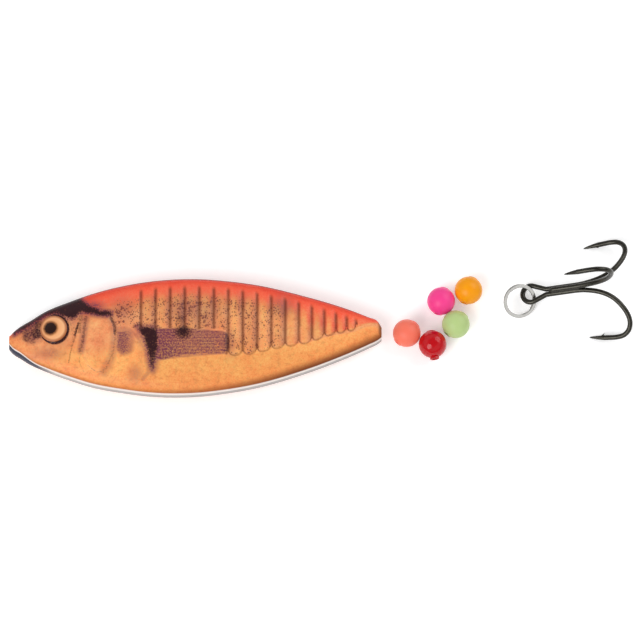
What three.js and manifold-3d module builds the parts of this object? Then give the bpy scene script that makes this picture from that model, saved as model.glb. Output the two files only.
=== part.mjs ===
// Through-line fishing lure set: a fish-shaped sinking body with a lined bore for the line,
// five loose bearing beads, and a treble hook that hangs from a split ring.
// Millimetres, +Z up. The set lies on a flat surface, nose of the lure towards -X.
import * as THREE from 'three';
import * as BufferGeometryUtils from 'three/addons/utils/BufferGeometryUtils.js';
import Module from 'manifold-3d';

const wasm = await Module();
wasm.setup();

// Lure body
const LURE_LENGTH = 80;
const LURE_HEIGHT = 25.8;
const FRONT_DEPTH = 4.2;
const BACK_DEPTH = 4.2;
const SHELL_WALL = 1.3;
const SEAM_GAP = 0.04;
const REST_LAND_DEPTH = 0.2;
const SECTION_FULLNESS = 2.7;
const NOSE_AXIS_DROP = 1.65;
const TAIL_AXIS_RISE = 0.15;

// Moulded relief: flutes across the flank and the step behind the gill cover
const FLUTE_PITCH = 3.13;
const FLUTE_PITCH_LOSS = 1.1;
const FLUTE_DEPTH = 0.22;
const FLUTE_BACK_MARGIN = 2.2;
const FLUTE_TAIL_MARGIN = 5.2;
const FLUTE_FADE = 1.2;
const GILL_STEP = 0.22;
const GILL_STEP_WIDTH = 0.9;
const GILL_ARC_RADIUS = 14;
const FLUTE_COUNT = 16;

// Line tube through the body
const TUBE_OUTER_DIAMETER = 2.0;
const TUBE_BORE = 1.3;
const TUBE_CLEARANCE = 0.04;
const TUBE_NOSE_INSET = 1.4;
const TUBE_TAIL_INSET = 0.3;

// Ballast weights
const WEIGHT_THICKNESS = 4.6;
const WEIGHT_DEPTH = 4.8;
const HEAD_WEIGHT_LENGTH = 11;
const BELLY_WEIGHT_LENGTH = 25;
const WEIGHT_CORNER_RADIUS = 1.2;
const WEIGHT_CLEARANCE = 0.15;
const WEIGHT_GAP = 1.2;

// Bulkheads and locating pins inside the shells
const BULKHEAD_THICKNESS = 1.2;
const BULKHEAD_INSET = 0.5;
const POST_DIAMETER = 3.6;
const PIN_DIAMETER = 1.5;
const PIN_LENGTH = 1.4;
const PIN_CLEARANCE = 0.08;

// Moulded eyes
const EYE_DIAMETER = 5.8;
const EYE_SEAT_DEPTH = 0.55;
const EYE_CROWN = 0.55;
const EYE_CLEARANCE = 0.06;

// Bearing beads
const BEAD_DIAMETER = 6.0;
const BEAD_BORE = 1.3;
const BEAD_LIP_WIDTH = 0.35;
const BEAD_LIP_RISE = 0.5;
const BEAD_GAP = 0.03;
const TAIL_TO_BEAD_GAP = 2.42;

// Split ring
const RING_OUTER_DIAMETER = 7.4;
const RING_BAND = 0.76;
const RING_WIRE_THICKNESS = 0.29;
const RING_TURN_GAP = 0.04;
const RING_CORNER_RADIUS = 0.08;
const RING_TURNS = 1.47;
const RING_START = -67;
const RING_CLIMB = 38.7;
const RING_BEARING = 110.1;
const RING_SIDE = 156.7;

// Treble hook
const HOOK_WIRE = 1.1;
const HOOK_EYE_WIDTH = 4.72;
const HOOK_EYE_LENGTH = 5.85;
const HOOK_WIRE_GAP = 0.08;
const HOOK_REACH = 22.87;
const HOOK_SPREAD = 12.2;
const HOOK_POINT_LENGTH = 3.3;
const TIP_RADIUS = 0.04;
const THIRD_HOOK_SETBACK = 1.2;
const BARB_LENGTH = 1.1;
const BARB_RISE = 0.42;
const BEAD_TO_RING_GAP = 3.42;
const HOOK_ACROSS = 9.57;
const HOOK_EYE_RISE = 1.5;
const HOOK_YAW = 3.4;

// Level of facets on round forms
const OUTLINE_STATIONS = 44;
const GILL_STATIONS = 8;
const SECTION_STEPS = 14;
const CAVITY_STATIONS = 14;
const CAVITY_STEPS = 8;
const ROUND_SIDES = 20;
const POST_SIDES = 12;
const CORNER_STEPS = 4;
const DOME_STEPS = 6;
const WIRE_SIDES = 10;
const BEAD_SIDES = 18;
const BEAD_RINGS = 8;
const RING_STEPS_PER_TURN = 40;
const BEND_STEPS = 22;
const EYE_STEPS = 16;
const LEAN_ACCURACY = 1e-6;

// Small overrun of every cutting tool past the face that it leaves
const OVERRUN = 0.5;

const UP = new THREE.Vector3(0, 0, 1);
const FULL_TURN = Math.PI * 2;
const QUARTER_TURN = Math.PI / 2;

// Body outline: station along the length, then the back and belly edges as shares of the height
const OUTLINE_SHARE = [
  [0, -0.014, -0.12],
  [0.004, -0.006, -0.14],
  [0.012, 0.021, -0.166],
  [0.03, 0.066, -0.201],
  [0.06, 0.122, -0.258],
  [0.1, 0.2, -0.314],
  [0.16, 0.277, -0.385],
  [0.23, 0.355, -0.453],
  [0.3, 0.412, -0.494],
  [0.385, 0.457, -0.527],
  [0.47, 0.475, -0.533],
  [0.545, 0.469, -0.516],
  [0.675, 0.418, -0.445],
  [0.8, 0.322, -0.326],
  [0.9, 0.227, -0.205],
  [0.965, 0.148, -0.114],
  [0.99, 0.112, -0.075],
  [1, 0.06, -0.05],
];

// Crown depth of each half as a share of its full depth
const CROWN_SHARE = [
  [0, 0.25],
  [0.012, 0.4],
  [0.06, 0.6],
  [0.14, 0.79],
  [0.28, 0.95],
  [0.45, 1],
  [0.62, 0.97],
  [0.8, 0.82],
  [0.93, 0.6],
  [0.985, 0.46],
  [1, 0.38],
];

// Flutes: where they start, where the fin ends, and their lower ends from there to the tail
const FLUTE_START_SHARE = 0.354;
const FLUTE_CROWN_SHARE = [0, 0.14, 0.5, 0.86];
const FIN_END_SHARE = 0.595;
const FIN_TOP_SHARE = 0.05;
const FLUTE_FOOT_SHARE = [
  [0.6, -0.163],
  [0.915, 0.039],
];
const GILL_PLACE_SHARE = 0.289;
const GILL_MIDDLE_SHARE = -0.055;
const GILL_SPAN_SHARE = 0.025;
const CLOSE_SHARE = 0.002;

// Ballast, bulkheads, locating posts and eyes as shares of the length and the height
const TAIL_BULKHEAD_SHARE = 0.8;
const POST_SHARE = [
  [0.31, 0.27],
  [0.62, 0.26],
  [0.8, 0.17],
];
const HEAD_WEIGHT_SHARE = [0.172, -0.2];
const BELLY_WEIGHT_DROP_SHARE = -0.27;
const EYE_SHARE = [0.12, 0.022];

// Beads: name, colour, place in steps of one bead and its gap, turn of the bore in the picture,
// and how much of the full rise its lips keep
const BEADS = [
  { name: 'bead_salmon', colour: '#fb7d69', placeShare: [0, 0], bore: 225, lipShare: 0.3 },
  { name: 'bead_red', colour: '#c80c16', placeShare: [0.92, -0.408], bore: 278, lipShare: 1 },
  { name: 'bead_pink', colour: '#fb4b96', placeShare: [1.228, 1.184], bore: 75, lipShare: 0.24 },
  { name: 'bead_pale_green', colour: '#b4d78c', placeShare: [1.75, 0.328], bore: 48, lipShare: 0.24 },
  { name: 'bead_orange', colour: '#fba00f', placeShare: [2.206, 1.58], bore: 250, lipShare: 0.24 },
];
const FIRST_BEAD_RISE_SHARE = 0.113;

// One hook beyond the shank: shares of the reach, and of the way out from the shank to the spread
const BEND_SHARE = [
  [0.543, 0],
  [0.612, 0.01],
  [0.681, 0.036],
  [0.748, 0.074],
  [0.81, 0.128],
  [0.866, 0.202],
  [0.916, 0.303],
  [0.959, 0.433],
  [0.989, 0.571],
  [1, 0.695],
  [0.992, 0.809],
  [0.963, 0.912],
  [0.914, 0.98],
  [0.845, 1],
  [0.762, 0.988],
  [0.67, 0.965],
  [0.581, 0.934],
];
const POINT_FULLNESS_SHARE = 0.6;

// Where the ring passes through the eye, off the middle of its bow, and where its wire steps up
const RING_THREAD_SHARE = [0.139, 0.132];
const RING_STEP_MARGIN_SHARE = 0.012;
const RING_STEP_SPAN_SHARE = 0.1;

function paint(colour, roughness, metalness) {
  return new THREE.MeshStandardMaterial({ color: colour, roughness, metalness });
}

// The print's mean colour, on both halves
function printPaint() {
  return paint('#ee9a52', 0.28, 0);
}

// A closed geometry as an exact solid that can be joined and cut
function solidOf(geometry) {
  const bare = geometry.clone();
  bare.deleteAttribute('normal');
  bare.deleteAttribute('uv');
  const merged = BufferGeometryUtils.mergeVertices(bare);
  const corners = merged.index.array;
  const kept = [];
  for (let i = 0; i < corners.length; i += 3) {
    const [a, b, c] = corners.subarray(i, i + 3);
    if (a !== b && b !== c && c !== a) {
      kept.push(a, b, c);
    }
  }
  const mesh = new wasm.Mesh({
    numProp: 3,
    vertProperties: merged.attributes.position.array,
    triVerts: Uint32Array.from(kept),
  });
  return new wasm.Manifold(mesh);
}

// An exact solid back as a geometry
function geometryOf(solid) {
  const mesh = solid.getMesh();
  const geometry = new THREE.BufferGeometry();
  geometry.setAttribute('position', new THREE.BufferAttribute(mesh.vertProperties, 3));
  geometry.setIndex(new THREE.BufferAttribute(mesh.triVerts, 1));
  return geometry;
}

function node(name, geometry, material) {
  const mesh = new THREE.Mesh(geometry, material);
  mesh.name = name;
  return mesh;
}

// One closed skin over rings of equal point counts, each ring counterclockwise seen from its far end
function loft(rings) {
  const count = rings[0].length;
  const index = [];
  for (let k = 0; k + 1 < rings.length; k += 1) {
    for (let i = 0; i < count; i += 1) {
      const next = (i + 1) % count;
      const a = k * count + i;
      const b = k * count + next;
      index.push(a, b, b + count, a, b + count, a + count);
    }
  }
  const last = (rings.length - 1) * count;
  for (let i = 1; i + 1 < count; i += 1) {
    index.push(0, i + 1, i);
    index.push(last, last + i, last + i + 1);
  }
  const geometry = new THREE.BufferGeometry();
  const places = rings.flat().flatMap((point) => [point.x, point.y, point.z]);
  geometry.setAttribute('position', new THREE.Float32BufferAttribute(places, 3));
  geometry.setIndex(index);
  return geometry;
}

// A smooth value along a table whose first column rises
function smooth(table, column) {
  const stations = table.map((row) => Math.sqrt(row[0]));
  const values = table.map((row) => row[column]);
  const line = new THREE.CubicInterpolant(stations, values, 1);
  return (share) => line.evaluate(Math.sqrt(share))[0];
}

const backEdge = smooth(OUTLINE_SHARE, 1);
const bellyEdge = smooth(OUTLINE_SHARE, 2);
const crown = smooth(CROWN_SHARE, 1);

// Middle line and half width of the body at a share of its length
function bodyAt(share) {
  const top = backEdge(share) * LURE_HEIGHT;
  const bottom = bellyEdge(share) * LURE_HEIGHT;
  return { middle: (top + bottom) / 2, half: (top - bottom) / 2 };
}

// Height of the outer surface above the seam at a place on the body
function surfaceRise(x, y, depth) {
  const share = x / LURE_LENGTH;
  const { middle, half } = bodyAt(share);
  const across = Math.min(Math.abs(y - middle) / half, 1);
  return depth * crown(share) * (1 - across ** SECTION_FULLNESS) ** (1 / SECTION_FULLNESS);
}

// Lines of the grooves between flutes, closer together towards the tail
function fluteLines() {
  const lines = [FLUTE_START_SHARE * LURE_LENGTH];
  for (let k = 0; k < FLUTE_COUNT; k += 1) {
    const late = (k / (FLUTE_COUNT - 1)) ** 4;
    lines.push(lines[k] + FLUTE_PITCH - FLUTE_PITCH_LOSS * late);
  }
  return lines.filter((x) => x < LURE_LENGTH - FLUTE_TAIL_MARGIN);
}

const grooves = fluteLines();

// How much of the flutes shows at a place: none by the back, over the fin and on the belly
function fluteCover(x, y) {
  const [footStart, footEnd] = FLUTE_FOOT_SHARE;
  const share = x / LURE_LENGTH;
  const along = (share - footStart[0]) / (footEnd[0] - footStart[0]);
  const slope = footStart[1] + (footEnd[1] - footStart[1]) * along;
  const foot = LURE_HEIGHT * (share < FIN_END_SHARE ? FIN_TOP_SHARE : slope);
  const top = backEdge(share) * LURE_HEIGHT - FLUTE_BACK_MARGIN;
  const above = THREE.MathUtils.smoothstep(y, foot, foot + FLUTE_FADE);
  return above * (1 - THREE.MathUtils.smoothstep(y, top - FLUTE_FADE, top));
}

// Depth of the moulded relief below the plain surface
function relief(x, y) {
  const cell = grooves.findIndex((line, k) => x >= line && x <= grooves[k + 1]);
  let depth = 0;
  if (cell >= 0) {
    const inCell = (x - grooves[cell]) / (grooves[cell + 1] - grooves[cell]);
    depth = FLUTE_DEPTH * Math.abs(inCell * 2 - 1) ** 4 * fluteCover(x, y);
  }
  const fromMiddle = y - GILL_MIDDLE_SHARE * LURE_HEIGHT;
  const gillEdge = GILL_PLACE_SHARE * LURE_LENGTH - fromMiddle ** 2 / (GILL_ARC_RADIUS * 2);
  const stepDown = THREE.MathUtils.smoothstep(x, gillEdge, gillEdge + GILL_STEP_WIDTH);
  const fadeOut = 1 - THREE.MathUtils.smoothstep(x, gillEdge + GILL_STEP_WIDTH, grooves[1]);
  return depth + GILL_STEP * stepDown * fadeOut;
}

// One half section: an arc from edge to edge over a flat seam
function halfRing(share, depth, wall, steps) {
  const { middle, half } = bodyAt(share);
  const width = half - wall;
  const rise = depth * crown(share) - wall;
  const ring = [];
  for (let i = 0; i <= steps; i += 1) {
    const angle = (Math.PI * i) / steps;
    const across = Math.sign(Math.cos(angle)) * Math.abs(Math.cos(angle)) ** (2 / SECTION_FULLNESS);
    const up = Math.abs(Math.sin(angle)) ** (2 / SECTION_FULLNESS);
    const x = share * LURE_LENGTH;
    const y = middle + width * across;
    const sunk = wall > 0 ? 0 : relief(x, y) * up;
    ring.push(new THREE.Vector3(x, y, i % steps === 0 ? 0 : rise * up - sunk));
  }
  return ring;
}

// Stations crowd towards both ends, where the outline turns fastest
function stations(count, from, to) {
  const crowded = (i) => (1 - Math.cos((Math.PI * i) / count)) / 2;
  return Array.from({ length: count + 1 }, (_, i) => from + (to - from) * crowded(i));
}

// Stations of the outer form: plain at both ends, close at the gill step, and four to a flute
function formStations() {
  const flutes = grooves.slice(0, -1).flatMap((line, k) => FLUTE_CROWN_SHARE.map((part) => {
    return (line + (grooves[k + 1] - line) * part) / LURE_LENGTH;
  }));
  const lastGroove = grooves[grooves.length - 1] / LURE_LENGTH;
  const gillStart = GILL_PLACE_SHARE - GILL_SPAN_SHARE;
  const gill = stations(GILL_STATIONS, gillStart, GILL_PLACE_SHARE + GILL_SPAN_SHARE);
  const outside = (share) => share < gill[0] || share > lastGroove;
  const plain = stations(OUTLINE_STATIONS, 0, 1).filter(outside);
  const all = [...plain, ...gill, ...flutes, lastGroove].sort((a, b) => a - b);
  return all.filter((share, i) => i === 0 || share === 1 || share - all[i - 1] > CLOSE_SHARE);
}

function halfBody(depth) {
  return solidOf(loft(formStations().map((share) => halfRing(share, depth, 0, SECTION_STEPS))));
}

// Hollow of one half, which starts and ends where the body is high enough to hold it
function halfCavity(depth) {
  const wide = (share) => bodyAt(share).half > SHELL_WALL + TUBE_OUTER_DIAMETER;
  const high = (share) => depth * crown(share) > SHELL_WALL * 2;
  const open = stations(OUTLINE_STATIONS, 0, 1).filter((share) => wide(share) && high(share));
  const rings = stations(CAVITY_STATIONS, open[0], open[open.length - 1]);
  return solidOf(loft(rings.map((share) => halfRing(share, depth, SHELL_WALL, CAVITY_STEPS))));
}

const tubeStart = new THREE.Vector3(0, -NOSE_AXIS_DROP, 0);
const tubeEnd = new THREE.Vector3(LURE_LENGTH, TAIL_AXIS_RISE, 0);
const tubeDirection = tubeEnd.clone().sub(tubeStart).normalize();

// A rod between two points of the body
function rod(from, to, diameter, sides) {
  const length = from.distanceTo(to);
  const geometry = new THREE.CylinderGeometry(diameter / 2, diameter / 2, length, sides);
  geometry.rotateX(QUARTER_TURN);
  geometry.lookAt(to.clone().sub(from));
  const middle = from.clone().add(to).divideScalar(2);
  geometry.translate(middle.x, middle.y, middle.z);
  return solidOf(geometry);
}

// A rod on the line's path, set back from the nose and from the tail
function pathRod(diameter, noseInset, tailInset) {
  const from = tubeStart.clone().addScaledVector(tubeDirection, noseInset);
  const to = tubeEnd.clone().addScaledVector(tubeDirection, -tailInset);
  return rod(from, to, diameter, ROUND_SIDES);
}

// A ballast bar: where it starts along the body, how far below the middle it lies, and its length
const headWeight = {
  start: HEAD_WEIGHT_SHARE[0] * LURE_LENGTH,
  level: HEAD_WEIGHT_SHARE[1] * LURE_HEIGHT,
  length: HEAD_WEIGHT_LENGTH,
};
const bellyWeight = {
  start: headWeight.start + HEAD_WEIGHT_LENGTH + WEIGHT_GAP,
  level: BELLY_WEIGHT_DROP_SHARE * LURE_HEIGHT,
  length: BELLY_WEIGHT_LENGTH,
};

// A bar with rounded edges along the body, grown for use as a cutter
function bar({ start, level, length }, growth) {
  const half = WEIGHT_DEPTH / 2 + growth;
  const side = WEIGHT_THICKNESS / 2 + growth;
  const corner = WEIGHT_CORNER_RADIUS;
  const section = new THREE.Shape();
  section.moveTo(-half + corner, -side);
  section.absarc(half - corner, -side + corner, corner, -QUARTER_TURN, 0, false);
  section.absarc(half - corner, side - corner, corner, 0, QUARTER_TURN, false);
  section.absarc(-half + corner, side - corner, corner, QUARTER_TURN, Math.PI, false);
  section.absarc(-half + corner, -side + corner, corner, Math.PI, QUARTER_TURN * 3, false);
  const geometry = new THREE.ExtrudeGeometry(section, {
    depth: length + growth * 2,
    bevelEnabled: false,
    curveSegments: CORNER_STEPS,
  });
  geometry.rotateX(QUARTER_TURN);
  geometry.rotateZ(QUARTER_TURN);
  geometry.translate(start - growth, level, 0);
  return solidOf(geometry);
}

const slab = (x, thickness) => {
  const geometry = new THREE.BoxGeometry(thickness, LURE_HEIGHT * 2, (FRONT_DEPTH + BACK_DEPTH) * 2);
  geometry.translate(x, 0, 0);
  return solidOf(geometry);
};

function postRod(placeShare, diameter, from, to) {
  const x = placeShare[0] * LURE_LENGTH;
  const y = placeShare[1] * LURE_HEIGHT;
  return rod(new THREE.Vector3(x, y, from), new THREE.Vector3(x, y, to), diameter, POST_SIDES);
}

// Frame of an eye on the outer surface, turned square to it
function eyeFrame(depth) {
  const x = EYE_SHARE[0] * LURE_LENGTH;
  const y = EYE_SHARE[1] * LURE_HEIGHT;
  const step = EYE_DIAMETER / 4;
  const rise = surfaceRise(x, y, depth);
  const slopeX = (surfaceRise(x + step, y, depth) - surfaceRise(x - step, y, depth)) / (step * 2);
  const slopeY = (surfaceRise(x, y + step, depth) - surfaceRise(x, y - step, depth)) / (step * 2);
  const normal = new THREE.Vector3(-slopeX, -slopeY, 1).normalize();
  const turn = new THREE.Quaternion().setFromUnitVectors(UP, normal);
  return new THREE.Matrix4().compose(new THREE.Vector3(x, y, rise), turn, new THREE.Vector3(1, 1, 1));
}

// A moulded eye: a flat-backed disc with a domed face and a softened rim
function eyeDisc() {
  const radius = EYE_DIAMETER / 2;
  const rim = EYE_CROWN / 4;
  const profile = [new THREE.Vector2(0, -EYE_SEAT_DEPTH), new THREE.Vector2(radius, -EYE_SEAT_DEPTH)];
  for (let i = 0; i <= DOME_STEPS; i += 1) {
    const share = 1 - i / DOME_STEPS;
    profile.push(new THREE.Vector2(radius * share, rim + (EYE_CROWN - rim) * (1 - share * share)));
  }
  const geometry = new THREE.LatheGeometry(profile, ROUND_SIDES);
  geometry.rotateX(QUARTER_TURN);
  return geometry;
}

function eyeSeat() {
  const geometry = new THREE.CylinderGeometry(
    EYE_DIAMETER / 2 + EYE_CLEARANCE,
    EYE_DIAMETER / 2 + EYE_CLEARANCE,
    EYE_SEAT_DEPTH + EYE_CLEARANCE + OVERRUN * 4,
    ROUND_SIDES * 2,
  );
  geometry.rotateX(QUARTER_TURN);
  geometry.translate(0, 0, (OVERRUN * 4 - EYE_SEAT_DEPTH - EYE_CLEARANCE) / 2);
  return geometry;
}

// One moulded half of the body, seam face down at zero, with its ribs, posts and seats
function shellHalf(depth) {
  let hollow = halfCavity(depth);
  const inset = BULKHEAD_INSET + BULKHEAD_THICKNESS / 2;
  const endsOf = ({ start, length }) => [start + inset, start + length - inset];
  const tail = TAIL_BULKHEAD_SHARE * LURE_LENGTH;
  for (const x of [...endsOf(headWeight), ...endsOf(bellyWeight), tail]) {
    hollow = hollow.subtract(slab(x, BULKHEAD_THICKNESS));
  }
  for (const place of POST_SHARE) {
    hollow = hollow.subtract(postRod(place, POST_DIAMETER, -OVERRUN, depth));
  }
  let shell = halfBody(depth).subtract(hollow);
  const tubeSeat = TUBE_OUTER_DIAMETER + TUBE_CLEARANCE * 2;
  shell = shell.subtract(pathRod(TUBE_BORE, -OVERRUN, -OVERRUN));
  shell = shell.subtract(pathRod(tubeSeat, TUBE_NOSE_INSET - TUBE_CLEARANCE, -OVERRUN));
  shell = shell.subtract(bar(headWeight, WEIGHT_CLEARANCE));
  shell = shell.subtract(bar(bellyWeight, WEIGHT_CLEARANCE));
  return shell.subtract(solidOf(eyeSeat().applyMatrix4(eyeFrame(depth))));
}

const seamHeight = BACK_DEPTH - REST_LAND_DEPTH;

function frontShell() {
  let shell = shellHalf(FRONT_DEPTH);
  for (const place of POST_SHARE) {
    const socket = PIN_DIAMETER + PIN_CLEARANCE * 2;
    shell = shell.subtract(postRod(place, socket, -OVERRUN, PIN_LENGTH + PIN_CLEARANCE));
  }
  const mesh = node('printed_shell', geometryOf(shell), printPaint());
  mesh.position.z = seamHeight + SEAM_GAP / 2;
  return mesh;
}

function backShell() {
  let shell = shellHalf(BACK_DEPTH);
  for (const place of POST_SHARE) {
    shell = shell.add(postRod(place, PIN_DIAMETER, -PIN_LENGTH + SEAM_GAP, PIN_LENGTH));
  }
  const floor = new THREE.BoxGeometry(LURE_LENGTH * 2, LURE_HEIGHT * 2, BACK_DEPTH);
  floor.translate(0, 0, BACK_DEPTH - REST_LAND_DEPTH - SEAM_GAP / 2 + BACK_DEPTH / 2);
  shell = shell.subtract(solidOf(floor));
  const mirrored = shell.mirror([0, 0, 1]);
  const mesh = node('back_shell', geometryOf(mirrored), printPaint());
  mesh.position.z = seamHeight - SEAM_GAP / 2;
  return mesh;
}

function lineTube() {
  const outside = pathRod(TUBE_OUTER_DIAMETER, TUBE_NOSE_INSET, TUBE_TAIL_INSET);
  const tube = outside.subtract(pathRod(TUBE_BORE, -OVERRUN, -OVERRUN));
  const mesh = node('line_tube', geometryOf(tube), paint('#e4e6e6', 0.35, 0));
  mesh.position.z = seamHeight;
  return mesh;
}

function weight(name, place) {
  const mesh = node(name, geometryOf(bar(place, 0)), paint('#77797c', 0.5, 0.85));
  mesh.position.z = seamHeight;
  return mesh;
}

function eyes() {
  const skin = paint('#eeb475', 0.12, 0);
  const front = node('eye_front', eyeDisc().applyMatrix4(eyeFrame(FRONT_DEPTH)), skin);
  front.position.z = seamHeight + SEAM_GAP / 2;
  const flipped = solidOf(eyeDisc().applyMatrix4(eyeFrame(BACK_DEPTH))).mirror([0, 0, 1]);
  const back = node('eye_back', geometryOf(flipped), skin);
  back.position.z = seamHeight - SEAM_GAP / 2;
  return [front, back];
}

// A bored bead with a raised lip round each mouth of the bore
function beadGeometry(lipShare) {
  const radius = BEAD_DIAMETER / 2;
  const bore = BEAD_BORE / 2;
  const lip = bore + BEAD_LIP_WIDTH;
  const start = Math.asin(lip / radius);
  const face = radius * Math.cos(start) + BEAD_LIP_RISE * lipShare;
  const profile = [new THREE.Vector2(bore, -face), new THREE.Vector2(lip, -face)];
  for (let i = 0; i <= BEAD_RINGS; i += 1) {
    const angle = start + ((Math.PI - start * 2) * i) / BEAD_RINGS;
    profile.push(new THREE.Vector2(radius * Math.sin(angle), -radius * Math.cos(angle)));
  }
  profile.push(new THREE.Vector2(lip, face), new THREE.Vector2(bore, face));
  profile.push(new THREE.Vector2(bore, -face));
  return new THREE.LatheGeometry(profile, BEAD_SIDES);
}

function beads() {
  const pitch = BEAD_DIAMETER + BEAD_GAP;
  return BEADS.map(({ name, colour, placeShare, bore, lipShare }) => {
    const mesh = node(name, beadGeometry(lipShare), paint(colour, 0.12, 0));
    mesh.rotation.z = THREE.MathUtils.degToRad(bore) - QUARTER_TURN;
    mesh.position.set(
      LURE_LENGTH + TAIL_TO_BEAD_GAP + BEAD_DIAMETER / 2 + placeShare[0] * pitch,
      BEAD_DIAMETER * FIRST_BEAD_RISE_SHARE + placeShare[1] * pitch,
      BEAD_DIAMETER / 2,
    );
    return mesh;
  });
}

// A smooth line through control points, as evenly spaced points
function sample(points, steps) {
  return new THREE.CatmullRomCurve3(points, false, 'centripetal').getSpacedPoints(steps);
}

// A round wire along points with a radius at each, its rings carried along without twist
function wire(points, radii, sides) {
  const pointAt = (i) => points[THREE.MathUtils.clamp(i, 0, points.length - 1)];
  const tangentAt = (i) => pointAt(i + 1).clone().sub(pointAt(i - 1)).normalize();
  const side = new THREE.Vector3().crossVectors(tangentAt(0), UP).normalize();
  const rings = points.map((point, i) => {
    const tangent = tangentAt(i);
    side.addScaledVector(tangent, -side.dot(tangent)).normalize();
    const other = new THREE.Vector3().crossVectors(tangent, side);
    return Array.from({ length: sides }, (_, k) => {
      const angle = (FULL_TURN * (k + 1 / 2)) / sides;
      const reach = point.clone().addScaledVector(side, Math.cos(angle) * radii[i]);
      return reach.addScaledVector(other, Math.sin(angle) * radii[i]);
    });
  });
  return loft(rings);
}

// Distance of each hook wire from the middle of the shank, where the three wires lie side by side
const wireOffset = (HOOK_WIRE + HOOK_WIRE_GAP) / Math.sqrt(3);

// A place on a hook: along the shank, out from its middle, in the plane at an angle round the shank
function hookPlace(along, out, angle) {
  return new THREE.Vector3(along, out * Math.cos(angle), out * Math.sin(angle));
}

// Bend and point of one hook, from the shank end to the tip
function bendPoints(angle) {
  const controls = BEND_SHARE.map(([along, out]) => {
    return hookPlace(along * HOOK_REACH, wireOffset + out * (HOOK_SPREAD - wireOffset), angle);
  });
  return sample(controls, BEND_STEPS);
}

// Wire radius along a hook: full to the start of the point, then tapering to the tip
function pointRadii(points) {
  const tip = points[points.length - 1];
  const full = HOOK_WIRE / 2;
  return points.map((point) => {
    const left = Math.min(point.distanceTo(tip) / HOOK_POINT_LENGTH, 1);
    return TIP_RADIUS + (full - TIP_RADIUS) * left ** POINT_FULLNESS_SHARE;
  });
}

// The barb: a sliver raised from the inner side of the point, aimed back at the bend
function barb(points, angle) {
  const tip = points[points.length - 1];
  const root = points.findLast((point) => point.distanceTo(tip) > HOOK_POINT_LENGTH - BARB_LENGTH);
  const back = root.clone().sub(tip).normalize();
  const inward = hookPlace(0, -1, angle);
  inward.addScaledVector(back, -inward.dot(back)).normalize();
  const apex = root.clone().addScaledVector(back, BARB_LENGTH);
  apex.addScaledVector(inward, HOOK_WIRE / 2 + BARB_RISE);
  const line = apex.clone().sub(root);
  const geometry = new THREE.ConeGeometry(HOOK_WIRE / 4, line.length(), WIRE_SIDES);
  geometry.rotateX(QUARTER_TURN);
  geometry.lookAt(line);
  const middle = root.clone().addScaledVector(line, 1 / 2);
  geometry.translate(middle.x, middle.y, middle.z);
  return solidOf(geometry);
}

// Eye of the hook: a round bow with two straight legs that close on the shank
function eyePoints(level) {
  const bow = (HOOK_EYE_WIDTH - HOOK_WIRE) / 2;
  const centre = bow + HOOK_WIRE / 2;
  const leg = wireOffset * Math.cos(Math.PI / 6);
  const reach = Math.hypot(HOOK_EYE_LENGTH - centre, leg);
  const leave = Math.atan2(leg, HOOK_EYE_LENGTH - centre) + Math.acos(bow / reach);
  const points = [];
  for (let i = 0; i <= EYE_STEPS; i += 1) {
    const angle = leave + ((FULL_TURN - leave * 2) * i) / EYE_STEPS;
    points.push(new THREE.Vector3(centre + bow * Math.cos(angle), bow * Math.sin(angle), level));
  }
  return points;
}

// Run of the double wire over the shank and round the eye, from the right hook to the left one
function shankPoints(level) {
  const across = wireOffset * Math.cos(Math.PI / 6);
  const near = HOOK_EYE_LENGTH + HOOK_WIRE;
  const right = [near, HOOK_EYE_LENGTH].map((along) => new THREE.Vector3(along, across, level));
  const left = right.toReversed().map((point) => new THREE.Vector3(point.x, -across, level));
  return [...right, ...eyePoints(level), ...left];
}

const HOOK_ANGLES = { right: -Math.PI / 6, left: (-Math.PI * 5) / 6, top: Math.PI / 2 };

// One wire bent round the eye into two hooks
function doubleWire() {
  const right = bendPoints(HOOK_ANGLES.right);
  const left = bendPoints(HOOK_ANGLES.left);
  const shank = shankPoints(-wireOffset / 2);
  const run = [...right.toReversed(), ...shank, ...left];
  const full = shank.map(() => HOOK_WIRE / 2);
  const radii = [...pointRadii(right).toReversed(), ...full, ...pointRadii(left)];
  const solid = solidOf(wire(run, radii, WIRE_SIDES));
  return solid.add(barb(right, HOOK_ANGLES.right)).add(barb(left, HOOK_ANGLES.left));
}

// The third hook lies in the groove between the two wires of the shank
function thirdHook() {
  const bend = bendPoints(HOOK_ANGLES.top);
  const start = HOOK_EYE_LENGTH + THIRD_HOOK_SETBACK;
  const endTaper = [start, start + HOOK_WIRE / 2];
  const head = endTaper.map((along) => hookPlace(along, wireOffset, HOOK_ANGLES.top));
  const radii = [HOOK_WIRE / 4, HOOK_WIRE / 2, ...pointRadii(bend)];
  return solidOf(wire([...head, ...bend], radii, WIRE_SIDES)).add(barb(bend, HOOK_ANGLES.top));
}

// Split ring: one flattened wire that runs round, steps up and lies on its own first turn
function splitRing() {
  const middle = (RING_OUTER_DIAMETER - RING_BAND) / 2;
  const level = (RING_WIRE_THICKNESS + RING_TURN_GAP) / 2;
  const steps = Math.round(RING_STEPS_PER_TURN * RING_TURNS);
  const start = THREE.MathUtils.degToRad(RING_START);
  const stepEnd = FULL_TURN * (1 - RING_STEP_MARGIN_SHARE);
  const stepStart = stepEnd - FULL_TURN * RING_STEP_SPAN_SHARE;
  const section = ringSection();
  const rings = Array.from({ length: steps + 1 }, (_, i) => {
    const run = (FULL_TURN * RING_TURNS * i) / steps;
    const rise = THREE.MathUtils.smoothstep(run, stepStart, stepEnd) * 2 - 1;
    return section.map(([up, out]) => {
      const place = new THREE.Vector3(middle + out, 0, level * rise + up);
      return place.applyAxisAngle(UP, start + run);
    });
  });
  return loft(rings);
}

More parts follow.
